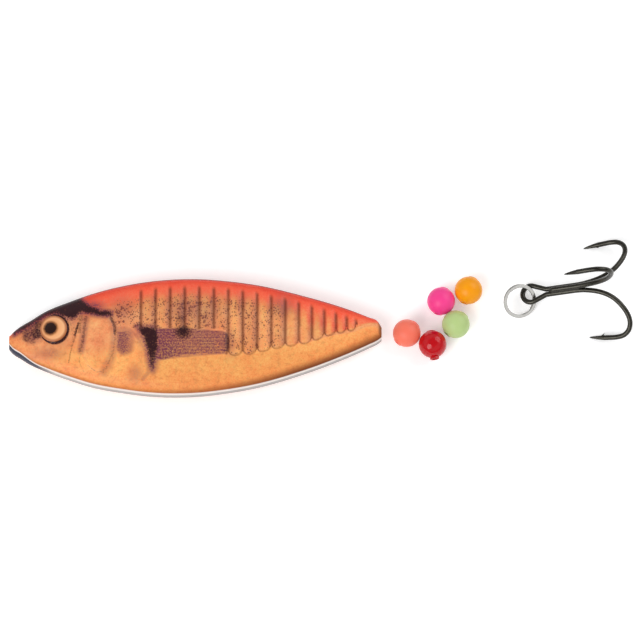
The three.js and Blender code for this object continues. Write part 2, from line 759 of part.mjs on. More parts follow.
// Flattened wire section with cut corners: height and distance out from its middle
function ringSection() {
  const up = RING_WIRE_THICKNESS / 2;
  const out = RING_BAND / 2;
  const corner = RING_CORNER_RADIUS;
  return [
    [up, -out + corner],
    [up, out - corner],
    [up - corner, out],
    [corner - up, out],
    [-up, out - corner],
    [-up, corner - out],
    [corner - up, -out],
    [up - corner, -out],
  ];
}

// The ring threads the eye: its wire climbs through the hole at a place beside the eye's middle
function ringFrame() {
  const climb = THREE.MathUtils.degToRad(RING_CLIMB);
  const bearing = THREE.MathUtils.degToRad(RING_BEARING);
  const side = THREE.MathUtils.degToRad(RING_SIDE);
  const eye = HOOK_EYE_WIDTH / 2;
  const across = RING_THREAD_SHARE[1] * eye;
  const through = new THREE.Vector3(eye + RING_THREAD_SHARE[0] * eye, across, -wireOffset / 2);
  const flat = new THREE.Vector3(Math.cos(bearing), Math.sin(bearing), 0);
  const along = flat.multiplyScalar(Math.cos(climb)).addScaledVector(UP, Math.sin(climb));
  const level = new THREE.Vector3().crossVectors(along, UP).normalize();
  const lift = new THREE.Vector3().crossVectors(level, along);
  const inward = level.multiplyScalar(Math.cos(side)).addScaledVector(lift, Math.sin(side));
  const outward = inward.clone().negate();
  const normal = new THREE.Vector3().crossVectors(outward, along);
  const frame = new THREE.Matrix4().makeBasis(outward, along, normal);
  frame.setPosition(through.addScaledVector(inward, (RING_OUTER_DIAMETER - RING_BAND) / 2));
  return frame;
}

// Lean at which the hook, its eye held up by the ring, touches the ground with its two lower hooks
function restLean(geometry) {
  const places = geometry.attributes.position;
  const lowest = (lean) => {
    let low = Infinity;
    for (let i = 0; i < places.count; i += 1) {
      low = Math.min(low, places.getX(i) * Math.sin(lean) + places.getZ(i) * Math.cos(lean));
    }
    return low + HOOK_EYE_RISE;
  };
  let lean = 0;
  for (let step = QUARTER_TURN / 2; step > LEAN_ACCURACY; step /= 2) {
    lean += lowest(lean + step) < 0 ? step : 0;
  }
  return lean;
}

function hookAndRing() {
  const blackNickel = paint('#2b2623', 0.22, 0.9);
  const double = geometryOf(doubleWire());
  const hook = new THREE.Group();
  hook.add(node('treble_double_wire', double, blackNickel));
  hook.add(node('treble_third_hook', geometryOf(thirdHook()), blackNickel));
  const ring = node('split_ring', splitRing(), paint('#cfd0ce', 0.18, 1));
  ring.applyMatrix4(ringFrame());
  hook.add(ring);
  const lastShare = BEADS[BEADS.length - 1].placeShare[0];
  const lastBead = LURE_LENGTH + TAIL_TO_BEAD_GAP + BEAD_DIAMETER + lastShare * (BEAD_DIAMETER + BEAD_GAP);
  const ringReach = RING_OUTER_DIAMETER - RING_BAND / 2 - HOOK_EYE_WIDTH / 2;
  hook.position.set(lastBead + BEAD_TO_RING_GAP + ringReach, HOOK_ACROSS, HOOK_EYE_RISE);
  hook.rotation.set(0, -restLean(double), THREE.MathUtils.degToRad(HOOK_YAW), 'ZYX');
  return hook;
}

const set = new THREE.Group();
set.add(frontShell(), backShell(), lineTube());
set.add(weight('head_weight', headWeight), weight('belly_weight', bellyWeight));
set.add(...eyes(), ...beads(), hookAndRing());

// The set stands centred on the origin, with its lowest point on the ground
set.updateMatrixWorld(true);
const box = new THREE.Box3().setFromObject(set, true);
const centre = box.getCenter(new THREE.Vector3());
set.position.set(-centre.x, -centre.y, -box.min.z);

export default set;
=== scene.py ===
"""Dresses a through-line fishing lure set: the printed fish body, its eyes, the loose bearing
beads, and the treble hook with its split ring, on a plain pale floor."""
import math

import bpy
import numpy as np
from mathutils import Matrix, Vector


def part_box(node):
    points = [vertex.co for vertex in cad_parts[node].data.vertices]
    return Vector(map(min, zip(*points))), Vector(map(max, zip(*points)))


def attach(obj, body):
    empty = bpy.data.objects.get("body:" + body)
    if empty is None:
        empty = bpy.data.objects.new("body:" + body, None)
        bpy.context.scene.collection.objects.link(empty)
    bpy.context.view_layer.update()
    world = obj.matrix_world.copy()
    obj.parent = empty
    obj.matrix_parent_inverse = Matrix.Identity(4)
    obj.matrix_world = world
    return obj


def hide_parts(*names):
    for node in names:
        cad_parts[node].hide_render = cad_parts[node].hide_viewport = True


bl_info = {
    "name": "Through-line lure set",
    "version": (1, 0, 0),
    "blender": (4, 5, 0),
    "location": "View3D > Sidebar > Lure",
    "description": "Builds the looks of a through-line fishing lure, its beads and its treble hook",
    "category": "Object",
}

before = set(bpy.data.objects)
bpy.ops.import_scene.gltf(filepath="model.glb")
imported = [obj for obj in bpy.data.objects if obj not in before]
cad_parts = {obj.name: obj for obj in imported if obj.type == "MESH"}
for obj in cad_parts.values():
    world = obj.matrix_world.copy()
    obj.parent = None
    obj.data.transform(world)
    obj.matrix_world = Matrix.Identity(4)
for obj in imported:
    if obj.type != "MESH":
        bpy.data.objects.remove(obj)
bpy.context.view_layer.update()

MM = 0.001
FULL_TURN = math.tau
# Points round a turned piece, and the rounding of its edges in mm
ROUND_SIDES = 96
EDGE_EASE = 0.05
# Squareness of the body's section, where 2 is an ellipse
SECTION_POWER = 2.7
# Fields of the print, kept on the body's mesh for its material
MASKS = ("back", "rim", "edge", "speck", "ink", "haze", "groove", "crown")

# Middle of the eye as shares of the body's length and height
EYE_PLACE = (0.12, 0.022)

# Bore of the body in mm: its radius, the liner's outer radius and seat, and the liner's two ends
BORE_RADIUS = 0.65
TUBE_RADIUS = 1.0
TUBE_SEAT = 1.04
TUBE_START = 1.4
TUBE_END_GAP = 0.3

# Split ring: turns of its wire, their start in degrees, the step between them, and the wire's squareness
RING_TURNS = 1.47
RING_START = -67
RING_STEP = (0.888, 0.988)
RING_SQUARENESS = 0.42
# How the ring hangs in the eye, in degrees: climb and bearing of its wire there, and its middle's side
RING_HANG = (38.7, 110.1, 156.7)

# Barb in mm: rise over the wire, greatest width and thickness
BARB_RISE = 0.56
BARB_WIDE = 0.24
BARB_THICK = 0.3

# Floor: half its width and its level in mm
FLOOR_REACH = 3000.0
FLOOR_LEVEL = -0.02

# Lamps: name, place and width in mm, and power in watts
LAMPS = (("key", (-350, -450, 600), 600, 3.7), ("fill", (500, 350, 450), 600, 1.9))

# Grey of the studio tent by the height of a direction, the two ends first
TENT = (
    (0, "#505052"), (1, "#7c7c7c"), (0.12, "#8c8c8e"), (0.35, "#d8d8d8"), (0.68, "#e4e4e4"),
    (0.82, "#8c8c8c"),
)

# Body outline: station along the length, then the back and belly edges as shares of the height
OUTLINE_SHARE = [
    (0, -0.014, -0.12), (0.004, -0.006, -0.14), (0.012, 0.021, -0.166), (0.03, 0.066, -0.201),
    (0.06, 0.122, -0.258), (0.1, 0.2, -0.314), (0.16, 0.277, -0.385), (0.23, 0.355, -0.453),
    (0.3, 0.412, -0.494), (0.385, 0.457, -0.527), (0.47, 0.475, -0.533), (0.545, 0.469, -0.516),
    (0.675, 0.418, -0.445), (0.8, 0.322, -0.326), (0.9, 0.227, -0.205), (0.965, 0.148, -0.114),
    (0.99, 0.112, -0.075), (1, 0.06, -0.05),
]

# Crown depth of each half as a share of its full depth
CROWN_SHARE = [
    (0, 0.25), (0.012, 0.4), (0.06, 0.6), (0.14, 0.79), (0.28, 0.95), (0.45, 1),
    (0.62, 0.97), (0.8, 0.82), (0.93, 0.6), (0.985, 0.46), (1, 0.38),
]

# One hook beyond the shank: shares of the reach, and of the way out from the shank to the spread
BEND_SHARE = [
    (0.543, 0), (0.612, 0.01), (0.681, 0.036), (0.748, 0.074), (0.81, 0.128), (0.866, 0.202),
    (0.916, 0.303), (0.959, 0.433), (0.989, 0.571), (1, 0.695), (0.992, 0.809), (0.963, 0.912),
    (0.914, 0.98), (0.845, 1), (0.762, 0.988), (0.67, 0.965), (0.581, 0.934),
]

# Marks of the print, in mm behind the nose and above the line's path as the camera sees them
HEAD_TOP = [
    (1.1, 0.1), (2.7, 1.0), (4.8, 2.1), (7.0, 3.6), (8.8, 4.4), (10.5, 4.6), (12.2, 4.0), (13.2, 3.5),
    (14.4, 4.2), (15.6, 4.9), (17.4, 4.7), (19.5, 4.3), (22.2, 4.3), (22.1, 4.8), (19.5, 5.3),
    (17.9, 5.9), (16.5, 6.8), (15.2, 7.8), (14.4, 9.8), (6.0, 8.0), (0.8, 3.0),
]
# Round spots of ink: middle, radius and strength
SNOUT_SPOTS = [
    ((5.9, 0.4), 1.2, 0.7), ((3.8, -0.6), 0.9, 0.6), ((4.0, 0.2), 1.0, 0.56), ((6.3, 2.2), 1.0, 0.66),
    ((5.0, -1.0), 0.9, 0.46), ((4.7, 1.9), 0.8, 0.5), ((2.9, 0.8), 0.7, 0.46),
]
# Drawn lines of ink: points, width and strength
CHEEK_LINES = [
    ([(14.9, 2.5), (14.5, 1.2), (14.2, 0.0)], 0.42, 0.8),
    ([(14.4, 0.4), (14.0, -1.3)], 0.34, 0.5),
    ([(14.0, -1.0), (13.3, -3.6), (12.9, -5.9)], 0.3, 0.5),
    ([(14.0, 1.6), (13.7, -0.6), (13.3, -2.6)], 0.3, 0.4),
    ([(12.9, 3.0), (13.5, 1.6), (13.4, 0.2)], 0.5, 0.36),
    ([(16.5, 3.8), (16.2, 1.4), (15.9, -1.2), (15.3, -3.4)], 0.6, 0.5),
    ([(15.5, 3.9), (15.2, 2.4), (15.1, 0.6)], 0.7, 0.5),
    ([(13.4, 3.2), (14.6, 3.6), (15.8, 3.3)], 0.5, 0.4),
    ([(15.7, -3.2), (15.2, -5.6), (16.2, -8.0)], 0.3, 0.35),
    ([(17.0, -6.6), (19.2, -7.9), (21.2, -7.0)], 0.26, 0.4),
    ([(17.6, -5.0), (19.4, -6.4), (21.4, -5.4)], 0.2, 0.25),
]
GILL_PLATE = [
    (16.6, 3.7), (19.0, 4.0), (21.8, 3.8), (22.5, 2.0), (22.6, -1.0), (22.0, -4.4), (20.6, -7.2),
    (18.2, -7.6), (16.4, -5.6), (16.1, -1.4),
]
GILL_EDGE = [(21.9, 3.7), (22.6, 2.1), (22.8, 0.4), (22.7, -1.6), (22.0, -4.8), (20.4, -7.8)]
GILL_REAR = [(23.0, 1.5), (25.4, 1.4), (27.9, -0.7), (29.5, -4.0), (30.3, -7.2), (28.8, -9.4)]
SHOULDER = [(23.0, 1.0), (26.6, 1.1), (27.2, -1.2), (26.6, -3.8), (24.6, -4.4), (23.1, -3.4)]
FIN_ROOT = [
    (27.5, 1.8), (31.6, 1.4), (32.0, -1.1), (31.8, -3.9), (30.8, -7.6), (30.2, -6.0), (29.7, -3.2),
    (28.8, -0.4),
]
FIN = [
    (31.2, 1.4), (35.0, 1.5), (40.0, 1.4), (44.0, 1.0), (46.9, 0.5), (47.5, -1.6), (46.7, -3.8),
    (42.0, -4.1), (37.0, -4.5), (31.4, -5.2),
]
FIN_EDGE = [(31.4, -5.3), (37.0, -4.6), (42.0, -4.2), (46.7, -3.9)]
# Soft patches of ink and of haze: middle, spread along and up, and strength
FLANK_SPOTS = [((37.4, 0.7), (2.1, 1.8), 0.95), ((36.9, 3.2), (1.3, 2.2), 0.55)]
VEILS = [
    ((17.6, 6.1), (3.2, 1.3), 0.85), ((13.9, 3.2), (1.6, 1.6), 0.4), ((24.4, 5.2), (3.0, 2.8), 0.46),
    ((38.2, 5.4), (5.2, 3.4), 0.56), ((42.3, 4.4), (1.3, 4.0), 0.5), ((50.0, 6.6), (2.4, 2.6), 0.3),
    ((58.6, 6.0), (2.6, 2.4), 0.55), ((9.0, -4.0), (3.6, 1.5), 0.46), ((12.2, -2.0), (3.4, 3.0), 0.2),
    ((20.0, -3.5), (2.4, 3.6), 0.12), ((44.0, 6.0), (2.6, 3.0), 0.4), ((29.0, -0.5), (1.4, 4.6), 0.3),
    ((47.6, -1.8), (1.3, 2.6), 0.5), ((66.5, 2.6), (1.6, 1.8), 0.2), ((27.2, -8.2), (1.6, 1.9), 0.4),
]

# Colours of the print by depth below the line of the back in mm, the two ends first; the darkest stop at the
# back's line is painted shade of its rounded edge
BACK_REACH = 26.0
BACK_COLOURS = [
    (0, "#6e1a16"), (25, "#f2a35c"), (0.28, "#f24a32"), (1.6, "#ff6848"), (2.8, "#fa7550"),
    (4.8, "#ec9059"),
]

# Painted brown shade along the print's rounded lower edge: stations behind the nose, its width there and its
# strength
EDGE_SHADE_STATIONS = (0, 8, 25, 45, 62, 80)
EDGE_SHADE_WIDTH = (0.6, 1.0, 0.8, 1.6, 2.2, 2.2)
EDGE_SHADE_STRENGTH = (0.3, 0.5, 0.45, 0.7, 1, 1)

# Flutes: first line, the wide spacing at the front, its loss towards the tail, and their lower ends
FLUTE_COUNT = 16
FLUTE_START = 28.32
FLUTE_PITCH = 3.13
FLUTE_PITCH_LOSS = 1.1
FLUTE_FEET = [(46.5, -4.4), (51.5, -4.1), (57.7, -2.8), (64.0, -1.7), (68.9, 0.0), (74.5, 1.2)]
BELLY_TOP = [(29.0, -7.0), (31.4, -5.0), (38.0, -4.4), *FLUTE_FEET, (77.0, 2.2), (80.0, 2.4)]

# Each bead's bore angle on the floor in degrees, its collar's height as a share of the red one's, and
# how clear its plastic is
BEADS = {
    "salmon": (225, 0.3, 0), "red": (278, 1, 0.35), "pink": (75, 0.24, 0), "pale_green": (48, 0.24, 0),
    "orange": (250, 0.24, 0),
}


def linear(code):
    """An sRGB hex colour as linear red, green and blue."""
    parts = [int(code[i:i + 2], 16) / 255 for i in (1, 3, 5)]
    return tuple(c / 12.92 if c <= 0.04045 else ((c + 0.055) / 1.055) ** 2.4 for c in parts)


def length(title, text, value):
    """A length property, given in mm and kept in Blender's metres."""
    return bpy.props.FloatProperty(
        name=title, description=text, default=value * MM, unit="LENGTH", subtype="DISTANCE", precision=5)


def angle(title, text, degrees):
    """An angle property, given in degrees."""
    return bpy.props.FloatProperty(
        name=title, description=text, default=math.radians(degrees), unit="ROTATION", subtype="ANGLE")


def colour(title, text, code):
    """A colour property from an sRGB hex value."""
    return bpy.props.FloatVectorProperty(
        name=title, description=text, default=linear(code), subtype="COLOR", min=0, max=1, size=3)


class LureBodySettings(bpy.types.PropertyGroup):
    """Sizes and print colours of the fish body."""
    long: length("Length", "Nose to tail", 80)
    high: length("Height", "Back to belly at full scale of the outline", 25.8)
    depth: length("Half depth", "Height of one half over the seam at its fullest", 4.2)
    wall: length("Wall", "Thickness of the moulded wall", 0.8)
    seam: length("Seam height", "Height of the seam above the ground", 4.0)
    seam_gap: length("Seam gap", "Gap between the halves", 0.04)
    nose_drop: length("Nose drop", "Fall of the bore's axis at the nose", 1.65)
    tail_rise: length("Tail rise", "Rise of the bore's axis at the tail", 0.15)
    flute: length("Flute depth", "Depth of the grooves between the flutes", 0.3)
    step: length("Plate step", "Height of the gill plate and the fin", 0.16)
    rim: length("Bare rim", "Width of the unprinted belly edge in the picture", 0.62)
    nose_rim: length("Nose rim", "Extra width of the bare rim at the nose", 0.55)
    flank: colour("Flank", "Tan orange over the flutes", "#f4a06a")
    # The crown colour is a painted highlight on the flutes' crowns
    crown: colour("Flute crown", "Light orange of the flutes' crowns", "#f7a865")
    belly: colour("Belly", "Gold of the belly", "#ffac64")
    keel: colour("Keel", "Deeper orange near the belly edge", "#ee8040")
    # This brown is painted shade of the print's rounded lower edge and tail end
    edge: colour("Edge shade", "Brown edge of the print", "#7c4120")
    bare: colour("Rim", "Silver of the unprinted rim", "#efe4dd")
    # Painted grey shade where the rim curves under next to the seam
    seam_shade: colour("Seam shade", "Grey of the rim along the seam", "#a49c9a")
    # Painted slate shade under the nose, where the rim faces down and forward
    chin_shade: colour("Chin", "Slate of the nose's underside", "#3f3f4e")
    ink: colour("Ink", "Darkest print", "#32161b")
    haze: colour("Haze", "Purple-brown veil", "#70384a")


class LureEyeSettings(bpy.types.PropertyGroup):
    """Sizes and colours of the moulded eyes."""
    across: length("Diameter", "Diameter of the eye", 5.8)
    crown: length("Crown", "Height of the dome over the skin", 0.55)
    pupil: length("Pupil", "Diameter of the pupil", 2.4)
    pupil_shift: length("Pupil shift", "How far the pupil sits towards the nose", 0.62)
    iris: colour("Iris", "Cream of the iris", "#f7b07a")
    ring: colour("Iris rim", "Orange rim of the iris", "#a85a34")
    black: colour("Pupil colour", "Black of the pupil", "#2a120c")


class LureBeadSettings(bpy.types.PropertyGroup):
    """Sizes and colours of the bearing beads."""
    across: length("Diameter", "Diameter of a bead", 6.0)
    bore: length("Bore", "Diameter of the bore", 1.3)
    lip: length("Lip width", "Width of the collar round the mouth of the bore", 0.35)
    lip_rise: length("Lip rise", "Height of the red bead's collar over its face", 0.5)
    salmon: colour("Salmon", "Salmon bead", "#fb7a63")
    red: colour("Red", "Clear red bead", "#d80f1c")
    pink: colour("Pink", "Pink bead", "#fb4694")
    pale_green: colour("Pale green", "Pale green bead", "#b9d08c")
    orange: colour("Orange", "Orange bead", "#fb9f0d")


class LureHookSettings(bpy.types.PropertyGroup):
    """Sizes and colours of the treble hook and the split ring."""
    wire: length("Wire", "Diameter of the hook wire", 1.1)
    wire_gap: length("Wire gap", "Gap between the wires of the shank", 0.08)
    eye_wide: length("Eye width", "Width of the eye", 4.72)
    eye_long: length("Eye length", "Length of the eye", 5.85)
    reach: length("Reach", "Eye to the far side of the bend", 22.87)
    spread: length("Spread", "Shank to the outer line of a hook", 12.2)
    point: length("Point", "Length of the ground point", 3.3)
    barb: length("Barb", "Length of the barb", 1.1)
    ring: length("Ring", "Outer diameter of the split ring", 7.4)
    band: length("Ring band", "Width of the flattened ring wire", 0.76)
    ring_wire: length("Ring wire", "Thickness of the flattened ring wire", 0.29)
    ring_gap: length("Ring gap", "Gap between the turns of the ring", 0.04)
    setback: length("Setback", "From the eye's legs to the start of the third wire", 1.2)
    lean: angle("Lean", "Rise of the shank from the eye to the bend", 17.564)
    yaw: angle("Yaw", "Turn of the shank on the floor", 3.4)
    nickel: colour("Black nickel", "Plating of the hook", "#4b4943")
    steel: colour("Steel", "Polished steel of the ring", "#f1f0ec")


class LureStageSettings(bpy.types.PropertyGroup):
    """Camera, floor and light."""
    lens: length("Lens", "Focal length", 600)
    sensor: length("Sensor", "Sensor width", 36)
    wide: length("Picture width", "Width of the picture at the set", 137.63)
    tilt: angle("Elevation", "Camera elevation over the floor", 75)
    aim_along: length("Aim along", "Middle of the picture behind the nose", 66.77)
    aim_across: length("Aim across", "Middle of the picture beside the nose", 3.609)
    floor: colour("Floor", "Pale floor", "#ffffff")


GROUPS = {
    "lure_body": LureBodySettings,
    "lure_eye": LureEyeSettings,
    "lure_bead": LureBeadSettings,
    "lure_hook": LureHookSettings,
    "lure_stage": LureStageSettings,
}


def settings(name):
    """One of the scene's property groups."""
    return getattr(bpy.context.scene, name)


def in_mm(group, key):
    """A length property in mm."""
    return getattr(group, key) / MM


# Shape helpers. Everything below is in mm until a mesh is made.

def ease(low, high, value):
    """Smooth step from 0 at low to 1 at high."""
    t = np.clip((value - low) / (high - low), 0, 1)
    return t * t * (3 - 2 * t)


def smooth(table, column):
    """A smooth value along a table whose first column rises."""
    knots = np.sqrt([row[0] for row in table])
    values = np.array([row[column] for row in table], float)
    last = len(knots) - 1

    def at(share):
        t = np.sqrt(np.clip(share, 0, 1))
        right = np.clip(np.searchsorted(knots, t, side="right"), 1, last)
        left = right - 1
        before = np.where(left > 0, left - 1, right)
        after = np.where(right < last, right + 1, left)
        t0, t1 = knots[left], knots[right]
        pull = (t1 - t0) / 2 / (t0 - knots[before])
        push = (t1 - t0) / 2 / (knots[after] - t1)
        p = (t - t0) / (t1 - t0)
        parts = [
            (-pull * p**3 + 2 * pull * p**2 - pull * p, before),
            ((1 + pull) * p**3 - (1.5 + 2 * pull) * p**2 + (pull - 0.5) * p + 1, left),
            (-(1 + push) * p**3 + (1.5 + push) * p**2 + 0.5 * p, right),
            (push * p**3 - push * p**2, after),
        ]
        return sum(weight * values[place] for weight, place in parts)

    return at


back_edge = smooth(OUTLINE_SHARE, 1)
belly_edge = smooth(OUTLINE_SHARE, 2)
crown = smooth(CROWN_SHARE, 1)


def curve_through(points, steps):
    """A smooth line through points, as evenly spaced points."""
    p = np.array(points, float)
    p = np.vstack([2 * p[0] - p[1], p, 2 * p[-1] - p[-2]])
    gaps = np.linalg.norm(np.diff(p, axis=0), axis=1) ** 0.5
    dense = []
    t = np.linspace(0, 1, 40, endpoint=False)[:, None]
    for k in range(1, len(p) - 2):
        a, b, c, d = p[k - 1:k + 3]
        before, here, after = gaps[k - 1:k + 2]
        leave = ((b - a) / before - (c - a) / (before + here) + (c - b) / here) * here
        arrive = ((c - b) / here - (d - b) / (here + after) + (d - c) / after) * here
        square = -3 * b + 3 * c - 2 * leave - arrive
        cube = 2 * b - 2 * c + leave + arrive
        dense.append(b + leave * t + square * t**2 + cube * t**3)
    line = np.vstack([*dense, p[-2:-1]])
    run = np.concatenate([[0], np.cumsum(np.linalg.norm(np.diff(line, axis=0), axis=1))])
    wanted = np.linspace(0, run[-1], steps + 1)
    return np.stack([np.interp(wanted, run, line[:, i]) for i in range(line.shape[1])], axis=1)


def distance_to(line, x, v):
    """Distance of places from a line of points."""
    nearest = np.full(x.shape, 1e9)
    for (ax, ay), (bx, by) in zip(line[:-1], line[1:]):
        dx, dy = bx - ax, by - ay
        t = np.clip(((x - ax) * dx + (v - ay) * dy) / (dx * dx + dy * dy), 0, 1)
        nearest = np.minimum(nearest, np.hypot(x - ax - dx * t, v - ay - dy * t))
    return nearest


def stroke(points, width, x, v):
    """How much a drawn line of a width covers places."""
    return 1 - ease(width * 0.25, width, distance_to(curve_through(points, 24), x, v))


def depth_inside(outline, x, v):
    """Distance of places inside a closed outline, negative outside."""
    ring = curve_through([*outline, outline[0]], 60)
    inside = np.zeros(x.shape, bool)
    for (ax, ay), (bx, by) in zip(ring[:-1], ring[1:]):
        spans = (ay > v) != (by > v)
        inside ^= spans & (x < ax + (v - ay) * (bx - ax) / (by - ay + 1e-12))
    return distance_to(ring, x, v) * np.where(inside, 1, -1)


def blot(centre, spread, x, v):
    """A soft round patch."""
    return np.exp(-((x - centre[0]) / spread[0]) ** 2 - ((v - centre[1]) / spread[1]) ** 2)


# Meshes and materials

def add_mesh(name, points, faces, material, fields=None, crease=40):
    """An object from points in mm, faces, a material and float fields for its nodes."""
    mesh = bpy.data.meshes.new(name)
    mesh.from_pydata((np.asarray(points) * MM).tolist(), [], faces)
    mesh.validate()
    for key, values in (fields or {}).items():
        kind = "FLOAT_VECTOR" if values.ndim == 2 else "FLOAT"
        layer = mesh.attributes.new(key, kind, "POINT")
        layer.data.foreach_set("vector" if values.ndim == 2 else "value", values.astype(np.float32).ravel())
    mesh.shade_smooth()
    mesh.set_sharp_from_angle(angle=math.radians(crease))
    mesh.materials.append(material)
    piece = bpy.data.objects.new(name, mesh)
    bpy.context.scene.collection.objects.link(piece)
    return piece


def place_piece(piece, body, slot, *nodes):
    """Lets a piece ride on its body and stand for CAD nodes, which it hides; the slot is not used."""
    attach(piece, body)
    if nodes:
        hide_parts(*nodes)


def ring_faces(rings, count, closed_run=False):
    """Faces of a skin over rings of equal point counts, with a cap at each end."""
    faces = []
    for k in range(rings - 1):
        for i in range(count):
            j = (i + 1) % count
            a, b = k * count, (k + 1) * count
            faces.append((a + i, a + j, b + j, b + i))
    if not closed_run:
        faces.append(tuple(reversed(range(count))))
        faces.append(tuple(range((rings - 1) * count, rings * count)))
    return faces


def add_node(tree, kind, inputs=None, stops=(), **options):
    """A shader node with its options, its values or links by input, and its ramp stops."""
    node = tree.nodes.new(kind)
    for key, value in options.items():
        setattr(node, key, value)
    for key, value in (inputs or {}).items():
        if isinstance(value, bpy.types.NodeSocket):
            tree.links.new(value, node.inputs[key])
        else:
            node.inputs[key].default_value = value
    for i, (place, shade) in enumerate(stops):
        ramp = node.color_ramp.elements
        stop = ramp[i] if i < 2 else ramp.new(place)
        stop.position = place
        stop.color = opaque(shade)
    return node


def new_material(name):
    """An empty node material and its tree."""
    material = bpy.data.materials.new(name)
    material.use_nodes = True
    material.node_tree.nodes.clear()
    return material, material.node_tree


def surfaced(material, inputs):
    """A material with its one shader, set by input."""
    shader = add_node(material.node_tree, "ShaderNodeBsdfPrincipled", inputs)
    add_node(material.node_tree, "ShaderNodeOutputMaterial", {"Surface": shader.outputs[0]})
    return material


def field(tree, key, output="Fac"):
    """A field of the mesh."""
    return add_node(tree, "ShaderNodeAttribute", attribute_name=key).outputs[output]


def object_place(tree):
    """Places in the object's own metres."""
    return add_node(tree, "ShaderNodeTexCoord").outputs["Object"]


def math_of(tree, operation, a, b=0.0, clamp=False):
    """A value worked out from two others."""
    return add_node(tree, "ShaderNodeMath", {0: a, 1: b}, operation=operation, use_clamp=clamp).outputs[0]


def times(tree, a, b, clamp=False):
    """The product of two values."""
    return math_of(tree, "MULTIPLY", a, b, clamp)


def blend_of(tree, share, a, b, mode="MIX"):
    """A colour between two others, each a link or a plain colour."""
    a, b = (shade if isinstance(shade, bpy.types.NodeSocket) else opaque(shade) for shade in (a, b))
    inputs = {0: share, 6: a, 7: b}
    return add_node(tree, "ShaderNodeMix", inputs, data_type="RGBA", blend_type=mode).outputs[2]


def opaque(shade):
    """A colour with full alpha."""
    return (*shade[:3], 1)


def grey_of(tree, value):
    """A grey colour from a value."""
    return add_node(tree, "ShaderNodeCombineColor", {0: value, 1: value, 2: value}).outputs[0]


def noise_of(tree, place, scale, detail):
    """Noise over places."""
    inputs = {"Vector": place, "Scale": scale, "Detail": detail}
    return add_node(tree, "ShaderNodeTexNoise", inputs).outputs["Fac"]


def streaks_of(tree, scale, detail):
    """Noise drawn out along the object's length."""
    drawn = add_node(tree, "ShaderNodeMapping", {"Vector": object_place(tree), "Scale": scale})
    return noise_of(tree, drawn.outputs[0], 1.0, detail)


def range_of(tree, value, low, high, at_low, at_high):
    """A value carried from one range to another and held at its ends."""
    inputs = {0: value, 1: low, 2: high, 3: at_low, 4: at_high}
    return add_node(tree, "ShaderNodeMapRange", inputs).outputs[0]


def bump_of(tree, height, strength, rise):
    """A bumped normal whose full height is a rise in mm."""
    inputs = {"Strength": strength, "Distance": rise * MM, "Height": height}
    return add_node(tree, "ShaderNodeBump", inputs).outputs[0]


# The fish body

def body_origin():
    """Nose of the body on the line's path at seam level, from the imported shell."""
    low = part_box("printed_shell")[0] / MM
    body = settings("lure_body")
    shares = np.linspace(0, 1, 2001)
    drop = float(belly_edge(shares).min()) * in_mm(body, "high")
    return np.array([low.x, low.y - drop, in_mm(body, "seam")])


def flute_lines():
    """Places of the grooves between the flutes."""
    steps = FLUTE_PITCH - FLUTE_PITCH_LOSS * (np.arange(FLUTE_COUNT) / (FLUTE_COUNT - 1)) ** 4
    return FLUTE_START + np.concatenate([[0], np.cumsum(steps)])


def flute_index(x):
    """Counts flutes along the body: a whole number on each groove."""
    lines = flute_lines()
    return np.interp(x, lines, np.arange(len(lines)), left=-1, right=len(lines))


def flute_fields(x, v):
    """Distance from the nearest groove, height over the flute's foot, and how far it is a flute."""
    n = flute_index(x)
    lines = flute_lines()
    start = np.interp(np.floor(n), np.arange(len(lines)), lines)
    pitch = np.interp(np.floor(n) + 1, np.arange(len(lines)), lines) - start
    share = np.where(pitch > 0, (x - start) / np.maximum(pitch, 0.1), 0)
    off_groove = np.minimum(np.abs(x[..., None] - lines).min(axis=-1), 1.6)
    foot = np.interp(x, [p[0] for p in FLUTE_FEET], [p[1] for p in FLUTE_FEET])
    over_fin = x < FLUTE_FEET[0][0]
    rounding = 1.15 * (1 - np.sqrt(np.clip(1 - (2 * share - 1) ** 2, 0, 1))) * ~over_fin
    above_foot = v - np.where(over_fin, FIN[0][1], foot + rounding)
    inside = ((x > lines[0] - 0.4) & (x < lines[-1] + 0.4)).astype(float)
    return off_groove, share, above_foot, inside


def fin_rays(x, v):
    """Rays of the pectoral fin, fanned slightly towards its end."""
    fan = (v + 1.6) / (1 + (x - FIN[0][0]) * 0.012)
    return 0.5 + 0.5 * np.cos(FULL_TURN * fan / 0.58)


def drawn_by_hand(x, v):
    """Places shifted a little, so that the printed marks have uneven edges."""
    shifted_x = x + 0.1 * np.sin(2.9 * v) + 0.04 * np.sin(6.7 * v + 2 * x)
    shifted_v = v + 0.1 * np.sin(2.3 * x) + 0.04 * np.sin(6.1 * x + 3 * v)
    return shifted_x, shifted_v


def off_eye(x, v):
    """Distance of places beyond the eye's edge, and their bearing from its middle."""
    eye_x, eye_v = eye_in_print()
    gap = np.hypot(x - eye_x, v - eye_v) - in_mm(settings("lure_eye"), "across") / 2
    return gap, np.arctan2(v - eye_v, x - eye_x)


def eye_shadow(x, v):
    """Painted shadow round the eye's socket: a dark line, wider at its lower right."""
    gap, bearing = off_eye(x, v)
    low_right = np.cos(bearing + 0.5)
    width = 0.28 + 0.3 * ease(-0.4, 0.9, low_right)
    return 0.9 * (1 - ease(width * 0.6, width * 1.3, gap)) * ease(-1.2, -0.2, low_right)


